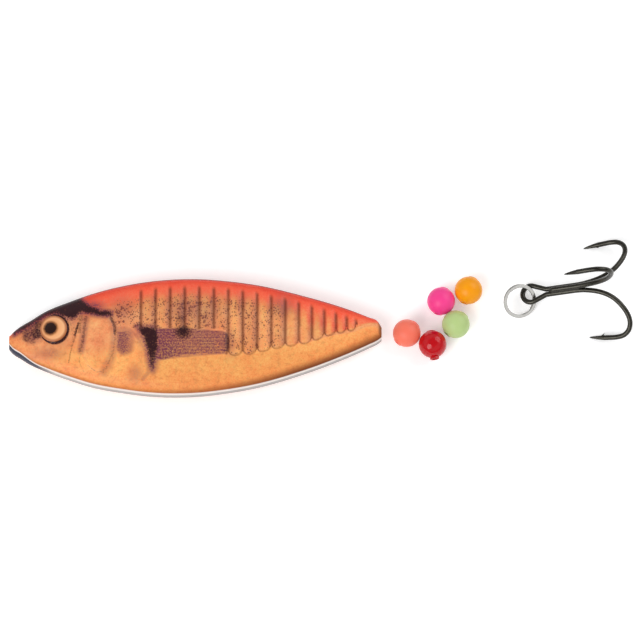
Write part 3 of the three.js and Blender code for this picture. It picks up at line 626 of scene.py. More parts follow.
def ink_marks(x, v, fin_depth):
    """Dark printed marks of the head, the fin's root and the flank, with the painted shadow round the eye.
    """
    uneven = drawn_by_hand(x, v)
    fin = ease(-0.1, 0.25, fin_depth)
    marks = [
        (0.86 + 0.1 * ease(8.0, 12.0, x)) * ease(-0.8, 0.6, depth_inside(HEAD_TOP, *uneven)),
        (0.68 + 0.24 * ease(-6.5, -2.5, v)) * ease(-0.5, 0.6, depth_inside(FIN_ROOT, *uneven)),
        0.66 * stroke(GILL_EDGE[:3], 0.6, x, v),
        0.4 * stroke(GILL_EDGE, 0.45, x, v),
        0.5 * fin * (1 - ease(0.0, 0.5, fin_depth)) * ease(-3.0, 0.5, v),
        0.55 * fin * ease(45.0, 47.2, x),
        eye_shadow(x, v),
    ]
    for (spot_x, spot_v), radius, strength in SNOUT_SPOTS:
        marks.append(strength * ease(-0.6, 0.35, radius - np.hypot(x - spot_x, v - spot_v)))
    marks += [strength * stroke(points, width, x, v) for points, width, strength in CHEEK_LINES]
    marks += [strength * blot(centre, spread, x, v) for centre, spread, strength in FLANK_SPOTS]
    return np.maximum.reduce(marks)


def haze_marks(x, v, fin, rays, flank):
    """Softer purple-brown veils."""
    marks = [
        0.8 * ease(-0.5, 0.9, depth_inside(SHOULDER, x, v)) * (1 - 0.5 * ease(24.5, 27.0, x)),
        (1.03 - 0.15 * ease(33, 39, x) - 0.26 * rays) * fin,
        0.5 * stroke([(16.5, 3.8), (16.1, 0.6), (15.4, -3.4)], 1.3, x, v),
        0.4 * stroke(GILL_REAR, 0.7, x, v),
        0.35 * stroke(GILL_EDGE, 1.5, x, v),
        0.5 * stroke(FIN_EDGE, 0.35, x, v),
        0.8 * ease(-1.5, 0.2, depth_inside(FIN_ROOT, x, v)),
        0.9 * ease(-1.3, 0.1, depth_inside(HEAD_TOP, x, v)),
        0.7 * ease(-1.2, 1.2, 2.3 - np.hypot(x - 5.0, v - 0.6)),
        0.22 * flank * (0.5 + 0.5 * np.sin(flute_index(x) * 2.7)),
    ]
    marks += [strength * blot(centre, spread, x, v) * (1 - 0.6 * fin) for centre, spread, strength in VEILS]
    return np.maximum.reduce(marks)


def body_fields(x, v, below_back):
    """Relief in mm and the print's masks at places on the body, some of them painted shade and highlights.
    """
    body = settings("lure_body")
    off_groove, share, above_foot, inside = flute_fields(x, v)
    on_flute = ease(-0.05, 0.12, above_foot) * inside
    groove = (1 - ease(0.05, 0.62, off_groove)) * on_flute
    foot_line = (1 - ease(0.06, 0.34, np.abs(above_foot))) * inside * (x > FLUTE_FEET[0][0] - 0.6)
    fin_depth = depth_inside(FIN, x, v)
    fin = ease(-0.1, 0.25, fin_depth)
    rays = fin_rays(x, v) * fin
    plate = ease(-0.2, 0.5, depth_inside(GILL_PLATE, x, v))
    root = ease(-0.15, 0.3, depth_inside(FIN_ROOT, x, v))
    eye_gap = off_eye(x, v)[0]
    valley = (1 - ease(0.0, 1.3, off_groove) ** 0.6) * on_flute * ease(0.6, 1.9, below_back)
    relief = in_mm(body, "step") * (fin - 0.35 * rays + plate)
    relief -= in_mm(body, "flute") * (valley + 0.6 * foot_line * (1 - groove))
    relief -= 0.1 * stroke(CHEEK_LINES[0][0], 0.4, x, v) + 0.14 * stroke(GILL_EDGE, 0.45, x, v)
    relief -= 0.14 * stroke(GILL_REAR, 0.6, x, v)
    relief -= 0.16 * (1 - ease(0.1, 0.45, np.abs(eye_gap - 0.3))) + 0.6 * ease(0.05, 0.35, -eye_gap)
    flank = ease(1.9, 4.2, below_back) * ease(21.8, 23.2, x) * (1 - ease(74.2, 75.6, x))
    flank *= (1 - fin) * (1 - root) * (1 - 0.65 * ease(57.5, 60.5, x))
    flank *= np.where(x < 28, ease(1.0, 1.8, v), ease(-0.15, 0.3, above_foot))
    # The grooves' and feet's dark lines are print, with painted shade added in the grooves and on the right
    # side of each flute; the crowns, and faintly the gill plate, get a painted highlight
    shade = np.clip(groove * 0.9 * ease(0.9, 2.2, below_back) + foot_line * 0.55, 0, 1)
    shade = np.maximum(shade, 0.42 * ease(0.6, 0.98, share) * on_flute * ease(2.4, 4.0, below_back))
    light = np.clip(on_flute * ease(0.1, 0.35, share) * (1 - ease(0.45, 0.8, share)), 0, 1)
    light = np.maximum(light * ease(2.2, 5.0, below_back), 0.1 * plate)
    below_flutes = (1 - ease(-0.8, 0.7, v - np.interp(x, *zip(*BELLY_TOP)))) * ease(29, 32, x)
    # The red starts behind the head and thins out at the tail, and gold fills all below the flutes
    reach = below_back * (1 + 1.5 * ease(73, 79, x)) + 10 * below_flutes + 3.0 * (1 - ease(0.6, 1.6, x))
    reach += 3.4 * (1 - ease(14.4, 16.8, x)) * ease(0.4, 1.5, below_back)
    # The last flutes are pinker than the rest
    reach -= 2.2 * ease(61.5, 64.5, x) * ease(3.0, 4.5, below_back) * (1 - below_flutes)
    fields = {"speck": flank, "ink": ink_marks(x, v, fin_depth), "haze": haze_marks(x, v, fin, rays, flank)}
    fields.update({"groove": shade, "crown": light, "back": reach})
    return relief, fields


def eye_in_print():
    """Middle of the eye as the print sees it."""
    at = eye_matrix(1)[:3, 3]
    origin = body_origin()
    return at[0] - origin[0], picture_height(at[1] - origin[1], at[2] - origin[2])


def picture_height(y, above_seam):
    """Height of a place in the picture plane over the line's path."""
    tilt = settings("lure_stage").tilt
    return y * math.sin(tilt) + above_seam * math.cos(tilt)


def section_line(steps):
    """Across and up shares of one half section, from the back edge over the crown to the belly."""
    power = SECTION_POWER
    wall = [0, 0.018, 0.04, 0.08]
    sweep = np.sin(np.linspace(math.pi * 0.485, 0, steps))
    across = np.concatenate([[(1 - u**power) ** (1 / power) for u in wall], sweep])
    across = np.concatenate([across, -across[-2::-1]])
    up = (1 - np.abs(across) ** power).clip(0) ** (1 / power)
    up[:4] = wall
    up[-4:] = wall[::-1]
    return across, up


def body_stations():
    """Places along the body where its section is drawn, closer together at both ends."""
    long = in_mm(settings("lure_body"), "long")
    nose, tail, step = 2.0, 1.2, 0.19
    x = np.concatenate([nose * np.linspace(0, 1, 26) ** 2, np.arange(nose + step, long - tail, step)])
    return np.concatenate([x, long - tail * np.linspace(1, 0, 12) ** 2])[:, None]


def inner_wall(x, middle, half, rise, count):
    """Inner wall of one half: the bore at the nose, the cavity, and the bore at the tail."""
    body = settings("lure_body")
    long, wall, drop = (in_mm(body, key) for key in ("long", "wall", "nose_drop"))
    angle = np.linspace(math.pi, 0, count)
    path = (in_mm(body, "tail_rise") + drop) * x / long - drop
    bore = np.where(x < TUBE_START, BORE_RADIUS, TUBE_SEAT)
    room = ease(3.0, 9.0, x) * (1 - ease(long - 10.0, long - 4.0, x))
    inner_half = bore + (np.maximum(half - wall, bore) - bore) * room
    inner_rise = bore + (np.maximum(rise - wall, bore) - bore) * room
    across = np.sign(np.cos(angle)) * np.abs(np.cos(angle)) ** 0.8
    return path + (middle - path) * room + inner_half * across, inner_rise * np.sin(angle) ** 0.8


def half_shell(name, side, material):
    """One moulded half of the body: side 1 faces up, side -1 lies on the ground."""
    body = settings("lure_body")
    long, high, depth = (in_mm(body, key) for key in ("long", "high", "depth"))
    x = body_stations()
    share = x / long
    top, bottom, rise = back_edge(share) * high, belly_edge(share) * high, crown(share) * depth
    middle, half = (top + bottom) / 2, (top - bottom) / 2
    across, up = section_line(72)
    z = rise * up
    corner = 0.16
    y = middle + (half - corner * (1 - np.clip(z / corner, 0, 1)) ** 2) * across
    grid_x = np.repeat(x, len(across), axis=1)
    v = picture_height(y, z)
    past_back = np.arange(len(across)) - v.argmax(axis=1)[:, None]
    below_back = np.where(past_back < 0, 0, v.max(axis=1, keepdims=True) - v)
    relief, fields = body_fields(grid_x, v, below_back)
    # Only the line of the back gets the painted shade of its rounded edge: the wall behind it is red again
    fields["back"] = np.where(past_back < -1, np.maximum(fields["back"], 1.2), fields["back"])
    z = z + relief * ease(0.15, 0.75, up)
    if side < 0:
        z = np.minimum(z, in_mm(body, "seam") - in_mm(body, "seam_gap") / 2)
    bare = in_mm(body, "rim") + in_mm(body, "nose_rim") * (1 - ease(2.0, 6.5, grid_x))
    rim = v - picture_height(y[:, -1:], 0) - bare
    wide, strong = (np.interp(grid_x, EDGE_SHADE_STATIONS, values) for values in (EDGE_SHADE_WIDTH, EDGE_SHADE_STRENGTH))
    # Painted brown shade where the print's lower edge curves away, and at the rounded tail end
    brown = (1 - ease(0, wide, rim)) * strong
    fields.update({"rim": rim, "edge": np.maximum(brown, 0.9 * ease(long - 1.0, long - 0.3, grid_x))})
    inner = 26
    inner_y, inner_z = inner_wall(x, middle, half, rise, inner)
    points = np.stack([
        np.concatenate([grid_x, np.repeat(x, inner, axis=1)], axis=1),
        np.concatenate([y, inner_y], axis=1),
        np.concatenate([z, inner_z], axis=1) + in_mm(body, "seam_gap") / 2,
    ], axis=2)
    layers = {}
    for key, values in fields.items():
        blank = np.full((len(x), inner), -5.0 if key == "rim" else 0.0)
        layers[key] = np.concatenate([values, blank], axis=1).ravel()
    height = np.concatenate([v, inner_y], axis=1)
    layers["place"] = np.stack([points[..., 0], height, points[..., 2]], axis=2).reshape(-1, 3)
    points[..., 2] *= side
    faces = ring_faces(len(x), points.shape[1])
    if side < 0:
        faces = [face[::-1] for face in faces]
    return add_mesh(name, points.reshape(-1, 3) + body_origin(), faces, material, layers, crease=50)


def print_colours(tree, place, grain, masks):
    """Fish pattern of the print, from the back's red over the flutes to the gold belly, with painted
    highlights on the flute crowns and painted shade in their grooves.
    """
    body = settings("lure_body")
    stops = [(at, linear(code)) for at, code in BACK_COLOURS]
    stops += [(6.5, body.flank), (11, body.flank), (14.5, body.belly)]
    stops = [(at / BACK_REACH, shade) for at, shade in stops]
    back = math_of(tree, "DIVIDE", masks["back"], BACK_REACH)
    base = add_node(tree, "ShaderNodeValToRGB", {0: back}, stops).outputs[0]
    # Painted highlight on the flutes' crowns
    base = blend_of(tree, times(tree, masks["crown"], 0.8), base, body.crown)
    base = blend_of(tree, range_of(tree, masks["rim"], 0.0, 4.5, 0.6, 0.0), base, body.keel)
    # Pools of lighter and deeper ink about 4 mm across, and mottling of about 1 mm
    pools = noise_of(tree, place, 0.28, 3.0)
    mottle = noise_of(tree, place, 1.1, 4.0)
    base = blend_of(tree, 0.35, base, grey_of(tree, pools), "OVERLAY")
    off_red = range_of(tree, masks["back"], 2.5, 5.0, 0.0, 0.26)
    brown = times(tree, off_red, range_of(tree, mottle, 0.5, 0.3, 0.0, 1.0))
    pale = times(tree, off_red, range_of(tree, mottle, 0.55, 0.75, 0.0, 0.6))
    base = blend_of(tree, brown, base, linear("#a85f3c"))
    base = blend_of(tree, pale, base, linear("#ffca86"))
    veil = times(tree, masks["haze"], range_of(tree, grain, 0.3, 0.7, 0.45, 1.5), True)
    base = blend_of(tree, veil, base, body.haze)
    # Pigment dots about 0.3 mm wide and 0.4 mm apart, fewer where the mottling is light
    cells = add_node(tree, "ShaderNodeTexVoronoi", {"Vector": place, "Scale": 2.45}).outputs["Distance"]
    dense = range_of(tree, mottle, 0.35, 0.65, 0.52, 0.16)
    dense = math_of(tree, "ADD", dense, times(tree, masks["haze"], 0.3))
    dots = math_of(tree, "SUBTRACT", times(tree, masks["speck"], dense), cells)
    base = blend_of(tree, times(tree, times(tree, dots, 5.5, True), 0.75), base, linear("#5f2e35"))
    # The grooves' dark lines: print, with painted shade over them and on the flutes' right sides
    base = blend_of(tree, times(tree, masks["groove"], 0.8), base, linear("#552210"))
    edge = math_of(tree, "ADD", masks["ink"], math_of(tree, "SUBTRACT", grain, 0.5))
    marks = times(tree, math_of(tree, "SUBTRACT", edge, 0.26), 1.7, True)
    return blend_of(tree, marks, base, body.ink)


def printed_lacquer():
    """Moulded ABS with a printed film under clear lacquer: saturated, grainy, softly glossy."""
    body = settings("lure_body")
    material, tree = new_material("ABS, printed film under clear lacquer")
    place = field(tree, "place", "Vector")
    masks = {key: field(tree, key) for key in MASKS}
    # Grain of the print film, about 0.3 mm
    grain = noise_of(tree, place, 3.2, 4.0)
    base = print_colours(tree, place, grain, masks)
    base = blend_of(tree, 0.55, base, grey_of(tree, grain), "OVERLAY")
    # Painted brown shade along the print's rounded lower edge, deeper towards the tail, then the bare rim,
    # with painted slate shade only low under the nose
    base = blend_of(tree, masks["edge"], base, body.edge)
    along = add_node(tree, "ShaderNodeSeparateXYZ", {0: place}).outputs["X"]
    low = range_of(tree, masks["rim"], -0.32, -0.2, 1.0, 0.0)
    # Painted slate shade low on the rim under the nose
    chin_shade = times(tree, range_of(tree, along, 6.0, 10.0, 1.0, 0.0), low)
    # Painted grey shade on the rim near the seam, where the back half curves under
    seam = range_of(tree, masks["rim"], -0.5, -0.3, 0.85, 0.0)
    silver = blend_of(tree, chin_shade, blend_of(tree, seam, body.bare, body.seam_shade), body.chin_shade)
    bare = range_of(tree, masks["rim"], -0.08, 0.08, 1.0, 0.0)
    return surfaced(material, {
        "Base Color": blend_of(tree, bare, base, silver),
        "Metallic": times(tree, bare, 0.1),
        "Roughness": 0.4,
        "Specular IOR Level": 0.16,
        "Coat Weight": 0.08,
        "Coat Roughness": 0.12,
        "Normal": bump_of(tree, grain, 0.25, 0.02),
    })


# Eyes

def surface_rise(x, y):
    """Height of the plain skin over the seam."""
    body = settings("lure_body")
    share = x / in_mm(body, "long")
    high = in_mm(body, "high")
    top, bottom = back_edge(share) * high, belly_edge(share) * high
    across = np.abs(y - (top + bottom) / 2) / ((top - bottom) / 2)
    return in_mm(body, "depth") * crown(share) * (1 - across**SECTION_POWER) ** (1 / SECTION_POWER)


def eye_matrix(side):
    """Frame of an eye on the plain skin, square to it."""
    body = settings("lure_body")
    x = EYE_PLACE[0] * in_mm(body, "long")
    y = EYE_PLACE[1] * in_mm(body, "high")
    step = in_mm(settings("lure_eye"), "across") / 4
    slope_x = (surface_rise(x + step, y) - surface_rise(x - step, y)) / (2 * step)
    slope_y = (surface_rise(x, y + step) - surface_rise(x, y - step)) / (2 * step)
    normal = np.array([-slope_x, -slope_y, 1.0])
    normal /= np.linalg.norm(normal)
    first = np.cross([0, 1, 0], normal)
    first /= np.linalg.norm(first)
    at = body_origin() + [x, y, surface_rise(x, y) + in_mm(body, "seam_gap") / 2]
    matrix = np.eye(4)
    matrix[:3] = np.stack([first, np.cross(normal, first), normal, at], axis=1)
    if side < 0:
        matrix[2] *= -1
        matrix[2, 3] += 2 * in_mm(body, "seam")
    return matrix


def turned(profile, sides):
    """Points of a profile turned about z: radius and height pairs, ring after ring."""
    profile = np.asarray(profile, float)
    angle = np.linspace(0, FULL_TURN, sides, endpoint=False)
    x = profile[:, 0][:, None] * np.cos(angle)
    y = profile[:, 0][:, None] * np.sin(angle)
    z = np.repeat(profile[:, 1][:, None], sides, axis=1)
    return np.stack([x, y, z], axis=2)


def eye_piece(name, side, material):
    """A domed eye with a soft rim, standing in its seat."""
    eye = settings("lure_eye")
    radius, top = in_mm(eye, "across") / 2, in_mm(eye, "crown")
    rim = top / 4
    skirt, rounding = 0.5, 0.1
    profile = [(0.02, -skirt), (radius - rounding, -skirt), (radius, rounding - skirt)]
    profile += [(radius, rim - rounding), (radius - 0.03, rim - 0.03)]
    for r in np.linspace(radius - rounding, 0.02, 26):
        profile.append((r, rim + (top - rim) * (1 - (r / radius) ** 2)))
    rings = turned(profile, ROUND_SIDES)
    local = rings.reshape(-1, 3)
    shift = in_mm(eye, "pupil_shift")
    fields = {
        "pupil": np.hypot(local[:, 0] + shift, local[:, 1]),
        "iris": np.hypot(local[:, 0], local[:, 1]),
        "place": local,
    }
    matrix = eye_matrix(side)
    world = local @ matrix[:3, :3].T + matrix[:3, 3]
    faces = ring_faces(len(rings), ROUND_SIDES)
    if side < 0:
        faces = [face[::-1] for face in faces]
    return add_mesh(name, world, faces, material, fields, crease=50)


def eye_enamel():
    """Epoxy-domed printed eye: deep pupil, brown halo and cream iris under a glossy skin."""
    eye = settings("lure_eye")
    material, tree = new_material("Printed eye under an epoxy dome")
    flecks = noise_of(tree, field(tree, "place", "Vector"), 2.2, 4.0)
    radius, outer = in_mm(eye, "pupil") / 2, in_mm(eye, "across") / 2
    shift = times(tree, math_of(tree, "SUBTRACT", flecks, 0.5), 0.25)
    wobble = math_of(tree, "ADD", field(tree, "pupil"), shift)
    from_pupil = math_of(tree, "DIVIDE", math_of(tree, "SUBTRACT", wobble, radius - 0.3), 3.6, True)
    base = add_node(tree, "ShaderNodeValToRGB", {0: from_pupil}, [
        (0, eye.black), (1, linear("#f6c98a")), (0.08, eye.black), (0.13, linear("#6a3822")),
        (0.2, linear("#c98656")), (0.27, eye.iris), (0.6, linear("#fcc08c")),
    ]).outputs[0]
    rim = range_of(tree, field(tree, "iris"), outer - 0.62, outer - 0.2, 0.0, 0.92)
    base = blend_of(tree, rim, base, eye.ring)
    base = blend_of(tree, times(tree, flecks, 0.25), base, linear("#e09a5e"))
    base = blend_of(tree, math_of(tree, "LESS_THAN", wobble, radius), base, eye.black)
    return surfaced(material, {
        "Base Color": base,
        "Roughness": 0.3,
        "Specular IOR Level": 0.2,
        "Coat Weight": 0.4,
        "Coat Roughness": 0.03,
    })


# Line tube

def tube_piece(material):
    """The liner of the bore, a plain extruded tube with eased ends."""
    body = settings("lure_body")
    start = body_origin() - [0, in_mm(body, "nose_drop"), 0]
    end = body_origin() + [in_mm(body, "long"), in_mm(body, "tail_rise"), 0]
    along = (end - start) / np.linalg.norm(end - start)
    run = np.linalg.norm(end - start) - TUBE_END_GAP
    edge = TUBE_RADIUS - EDGE_EASE
    profile = [(BORE_RADIUS, TUBE_START), (edge, TUBE_START), (TUBE_RADIUS, TUBE_START + EDGE_EASE)]
    profile += [(TUBE_RADIUS, run - EDGE_EASE), (edge, run), (BORE_RADIUS, run), (BORE_RADIUS, TUBE_START)]
    rings = turned(profile, 48)
    side = np.cross([0, 0, 1], along)
    side /= np.linalg.norm(side)
    basis = np.stack([side, np.cross(along, side), along])
    world = rings.reshape(-1, 3) @ basis + start
    return add_mesh("line_liner", world, ring_faces(len(rings), 48, True), material)


def tube_plastic():
    """Extruded polyethylene tube: milky and waxy."""
    material, tree = new_material("Polyethylene, extruded, milky")
    lines = streaks_of(tree, (40, 4000, 4000), 2.0)
    return surfaced(material, {
        "Base Color": blend_of(tree, lines, linear("#dfe2e0"), linear("#f0f1ee")),
        "Roughness": 0.42,
        "Subsurface Weight": 0.2,
        "Subsurface Scale": 0.6 * MM,
        "Normal": bump_of(tree, lines, 0.2, 0.02),
    })


def ballast_metal():
    """Cast lead alloy ballast: dull grey with casting grain."""
    material, tree = new_material("Lead alloy, cast")
    grain = noise_of(tree, object_place(tree), 1400.0, 5.0)
    return surfaced(material, {
        "Base Color": blend_of(tree, grain, linear("#5f6265"), linear("#8d9093")),
        "Metallic": 1.0,
        "Roughness": range_of(tree, grain, 0.0, 1.0, 0.4, 0.65),
        "Normal": bump_of(tree, grain, 0.6, 0.08),
    })


# Beads

def bead_piece(kind, bore_angle, rise, material):
    """A bored bead with a short collar at each mouth and a faint parting line."""
    bead = settings("lure_bead")
    radius, bore, lip = in_mm(bead, "across") / 2, in_mm(bead, "bore") / 2, in_mm(bead, "lip")
    start = math.asin((bore + lip) / radius)
    face = radius * math.cos(start) + rise
    # The far end keeps only a trace of the collar
    far = radius * math.cos(start) + min(rise, 0.12)
    profile = [(bore + EDGE_EASE, -far), (bore + lip - EDGE_EASE, -far), (bore + lip, -far + EDGE_EASE)]
    for angle in np.linspace(start, math.pi - start, 72):
        ridge = 0.02 * math.exp(-((angle - math.pi / 2) * radius / 0.07) ** 2)
        profile.append(((radius + ridge) * math.sin(angle), -(radius + ridge) * math.cos(angle)))
    profile += [(bore + lip, face - EDGE_EASE), (bore + lip - EDGE_EASE, face), (bore + EDGE_EASE, face)]
    profile += [(bore, face - EDGE_EASE), (bore, -far + EDGE_EASE), (bore + EDGE_EASE, -far)]
    rings = turned(profile, ROUND_SIDES)
    turn = math.radians(bore_angle)
    axis = np.array([math.cos(turn), math.sin(turn), 0.0])
    side = np.cross([0, 0, 1], axis)
    basis = np.stack([side, np.cross(axis, side), axis])
    low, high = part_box("bead_" + kind)
    centre = np.array((low + high) / 2) / MM
    world = rings.reshape(-1, 3) @ basis + centre
    name = "bearing_bead_" + kind
    faces = ring_faces(len(rings), ROUND_SIDES, True)
    return add_mesh(name, world, faces, material, {"place": rings.reshape(-1, 3)})


def bead_plastic(name, shade, clear):
    """Injection-moulded bead plastic: tinted through, waxy or clear, with faint flow marks."""
    material, tree = new_material(name)
    place = field(tree, "place", "Vector")
    flow = add_node(tree, "ShaderNodeTexNoise", {
        "Vector": place, "Scale": 0.5, "Detail": 3.0, "Distortion": 1.2}).outputs["Fac"]
    pale = tuple(min(1.0, c * 1.15 + 0.003) for c in shade)
    inputs = {
        "Base Color": blend_of(tree, times(tree, flow, 0.5), shade, pale),
        "Roughness": 0.3,
        "Subsurface Weight": 0.35,
        "Subsurface Scale": 1.2 * MM,
        "Subsurface Radius": (1.0, 0.8, 0.6),
        "Specular IOR Level": 0.22,
        "Normal": bump_of(tree, noise_of(tree, place, 3.0, 3.0), 0.12, 0.04),
    }
    if clear:
        inputs.update({"Roughness": 0.08, "Subsurface Weight": 0.0})
        inputs.update({"Transmission Weight": clear, "IOR": 1.49})
    return surfaced(material, inputs)


# Hook and ring

def sweep(points, section_at):
    """Rings of a section carried along points without twist: section_at(i) gives out and over offsets."""
    points = np.asarray(points, float)
    ahead = np.vstack([points[1:], points[-1:]])
    behind = np.vstack([points[:1], points[:-1]])
    tangents = ahead - behind
    tangents /= np.linalg.norm(tangents, axis=1)[:, None]
    side = np.cross(tangents[0], [0, 0, 1])
    rings = []
    for i, tangent in enumerate(tangents):
        side = side - tangent * side.dot(tangent)
        side /= np.linalg.norm(side)
        over = np.cross(tangent, side)
        section = section_at(i)
        rings.append(points[i] + section[:, :1] * side + section[:, 1:] * over)
    return np.array(rings)


def round_section(radius, sides):
    """A circle of points."""
    angle = np.linspace(0, FULL_TURN, sides, endpoint=False)
    return radius * np.stack([np.cos(angle), np.sin(angle)], axis=1)


def wire_offset(hook):
    """Distance of each hook wire from the middle of the shank."""
    return (in_mm(hook, "wire") + in_mm(hook, "wire_gap")) / math.sqrt(3)


def bend_line(hook, angle, steps=150):
    """Bend and point of one hook, from the shank end to the tip."""
    offset = wire_offset(hook)
    points = []
    for along, out in BEND_SHARE:
        reach = offset + out * (in_mm(hook, "spread") - offset)
        points.append((along * in_mm(hook, "reach"), reach * math.cos(angle), reach * math.sin(angle)))
    return curve_through(points, steps)


def point_radii(hook, line):
    """Wire radius along a hook, tapering to the tip over the length of the point."""
    gap = np.linalg.norm(line - line[-1], axis=1) / in_mm(hook, "point")
    full = in_mm(hook, "wire") / 2
    return 0.04 + (full - 0.04) * np.clip(gap, 0, 1) ** 0.6


def eye_line(hook, level):
    """Bow of the hook's eye and its two legs."""
    wire = in_mm(hook, "wire")
    bow = (in_mm(hook, "eye_wide") - wire) / 2
    centre = bow + wire / 2
    leg = wire_offset(hook) * math.cos(math.pi / 6)
    reach = math.hypot(in_mm(hook, "eye_long") - centre, leg)
    leave = math.atan2(leg, in_mm(hook, "eye_long") - centre) + math.acos(bow / reach)
    angle = np.linspace(leave, FULL_TURN - leave, 90)
    return np.stack([centre + bow * np.cos(angle), bow * np.sin(angle), np.full(90, level)], axis=1)


def straight(start, end, steps):
    """Evenly spaced points between two places, without the last."""
    t = np.linspace(0, 1, steps, endpoint=False)[:, None]
    return np.asarray(start) + (np.asarray(end) - np.asarray(start)) * t


def barb_mesh(hook, line, angle):
    """The barb: a sliver cut up from the inner side of the point."""
    gap = np.linalg.norm(line - line[-1], axis=1)
    root = line[np.where(gap > in_mm(hook, "point") - in_mm(hook, "barb"))[0][-1]]
    back = (root - line[-1]) / np.linalg.norm(root - line[-1])
    inward = -np.array([0, math.cos(angle), math.sin(angle)])
    inward -= back * inward.dot(back)
    inward /= np.linalg.norm(inward)
    apex = root + back * in_mm(hook, "barb") + inward * (in_mm(hook, "wire") / 2 + BARB_RISE)
    across = np.cross(back, inward)
    t = np.linspace(0, 1, 14)[:, None]
    spine = root + (apex - root) * t - inward * 0.12 * np.sin(t * math.pi)
    over = np.cross(apex - root, across) / 1.5
    rings = []
    for share, at in zip(t[:, 0], spine):
        circle = round_section(1, 16)
        wide = BARB_WIDE * (1 - share) ** 0.7 + 0.015
        thick = BARB_THICK * (1 - share) ** 0.8 + 0.012
        rings.append(at + circle[:, :1] * across * wide + circle[:, 1:] * over * thick)
    return np.array(rings)


def joined(parts):
    """Several ring stacks as one list of points and faces."""
    points, faces, start = [], [], 0
    for rings in parts:
        count = rings.shape[1]
        faces += [tuple(start + i for i in face) for face in ring_faces(len(rings), count)]
        points.append(rings.reshape(-1, 3))
        start += len(rings) * count
    return np.vstack(points), faces


HOOK_ANGLES = {"right": -math.pi / 6, "left": -math.pi * 5 / 6, "top": math.pi / 2}
HOOK_SIDES = 28


def double_wire(hook):
    """One wire bent round the eye into two hooks, with their barbs."""
    right, left = (bend_line(hook, HOOK_ANGLES[key]) for key in ("right", "left"))
    level = -wire_offset(hook) / 2
    across = wire_offset(hook) * math.cos(math.pi / 6)
    close = in_mm(hook, "eye_long")
    far = close + in_mm(hook, "wire")
    far_right, close_right = (far, across, level), (close, across, level)
    far_left, close_left = (far, -across, level), (close, -across, level)
    eye = eye_line(hook, level)
    run = np.vstack([
        right[::-1],
        straight(right[0], far_right, 20)[1:],
        straight(far_right, close_right, 6),
        straight(close_right, eye[0], 14),
        eye,
        straight(eye[-1], close_left, 14)[1:],
        straight(close_left, far_left, 6),
        straight(far_left, left[0], 20),
        left,
    ])
    between = np.full(len(run) - len(right) - len(left), in_mm(hook, "wire") / 2)
    radii = np.concatenate([point_radii(hook, right)[::-1], between, point_radii(hook, left)])
    unit = round_section(1, HOOK_SIDES)
    rings = sweep(run, lambda i: unit * radii[i])
    return [rings, barb_mesh(hook, right, HOOK_ANGLES["right"]), barb_mesh(hook, left, HOOK_ANGLES["left"])]


def third_hook(hook):
    """The third hook, brazed in the groove of the double wire."""
    bend = bend_line(hook, HOOK_ANGLES["top"])
    start = in_mm(hook, "eye_long") + in_mm(hook, "setback")
    full = in_mm(hook, "wire") / 2
    offset = wire_offset(hook)
    head = straight((start, 0, offset), (bend[0][0], 0, offset), 40)
    grow = full * np.sqrt(np.clip(1 - (1 - (head[:, 0] - start) / full).clip(0) ** 2, 0.06, 1))
    radii = np.concatenate([grow, point_radii(hook, bend)])
    unit = round_section(1, HOOK_SIDES)
    rings = sweep(np.vstack([head, bend]), lambda i: unit * radii[i])
    return [rings, barb_mesh(hook, bend, HOOK_ANGLES["top"])]


def shank_braze(hook):
    """Braze metal that fills the grooves between the three wires."""
    start, end = in_mm(hook, "eye_long") + 0.4, in_mm(hook, "reach") * 0.62
    x = np.linspace(start, end, 90)
    share = (x - start) / (end - start)
    radius = 0.72 * np.minimum(ease(0, 0.12, share), 1 - ease(0.86, 1, share)).clip(0.05)
    radius *= 1 + 0.03 * np.sin(x * 3.1) + 0.02 * np.sin(x * 7.7)
    line = np.stack([x, np.zeros(90), np.zeros(90)], axis=1)
    unit = round_section(1, HOOK_SIDES)
    return [sweep(line, lambda i: unit * radius[i])]


def hook_basis():
    """Directions of the hook at rest: along its shank, across it, and over it."""
    hook = settings("lure_hook")
    lean, yaw = hook.lean, hook.yaw
    along = np.array([math.cos(lean) * math.cos(yaw), math.cos(lean) * math.sin(yaw), math.sin(lean)])
    across = np.array([-math.sin(yaw), math.cos(yaw), 0.0])
    return np.stack([along, across, np.cross(along, across)])


def seated(points, node):
    """Hook points turned to their rest and moved to where the node's box says."""
    world = points @ hook_basis()
    low, high = (np.array(corner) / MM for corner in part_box(node))
    return world + (low + high) / 2 - (world.min(axis=0) + world.max(axis=0)) / 2


def ring_rings(hook):
    """Split ring: one flattened wire that runs round, steps up and lies on its own first turn."""
    middle = (in_mm(hook, "ring") - in_mm(hook, "band")) / 2
    thick, band = in_mm(hook, "ring_wire"), in_mm(hook, "band")
    level = (thick + in_mm(hook, "ring_gap")) / 2
    run = np.linspace(0, FULL_TURN * RING_TURNS, 331)
    rise = ease(FULL_TURN * RING_STEP[0], FULL_TURN * RING_STEP[1], run) * 2 - 1
    power = RING_SQUARENESS
    angle = np.linspace(0, FULL_TURN, 28, endpoint=False)
    up = thick / 2 * np.sign(np.cos(angle)) * np.abs(np.cos(angle)) ** power
    out = band / 2 * np.sign(np.sin(angle)) * np.abs(np.sin(angle)) ** power
    turn = math.radians(RING_START) + run[:, None]
    reach = middle + out
    rings = np.stack([np.cos(turn) * reach, np.sin(turn) * reach, level * rise[:, None] + up], axis=2)
    # The second value marks the band's edges for the painted shade in its material
    return rings, np.tile(np.abs(out) * 2 / band, len(run))


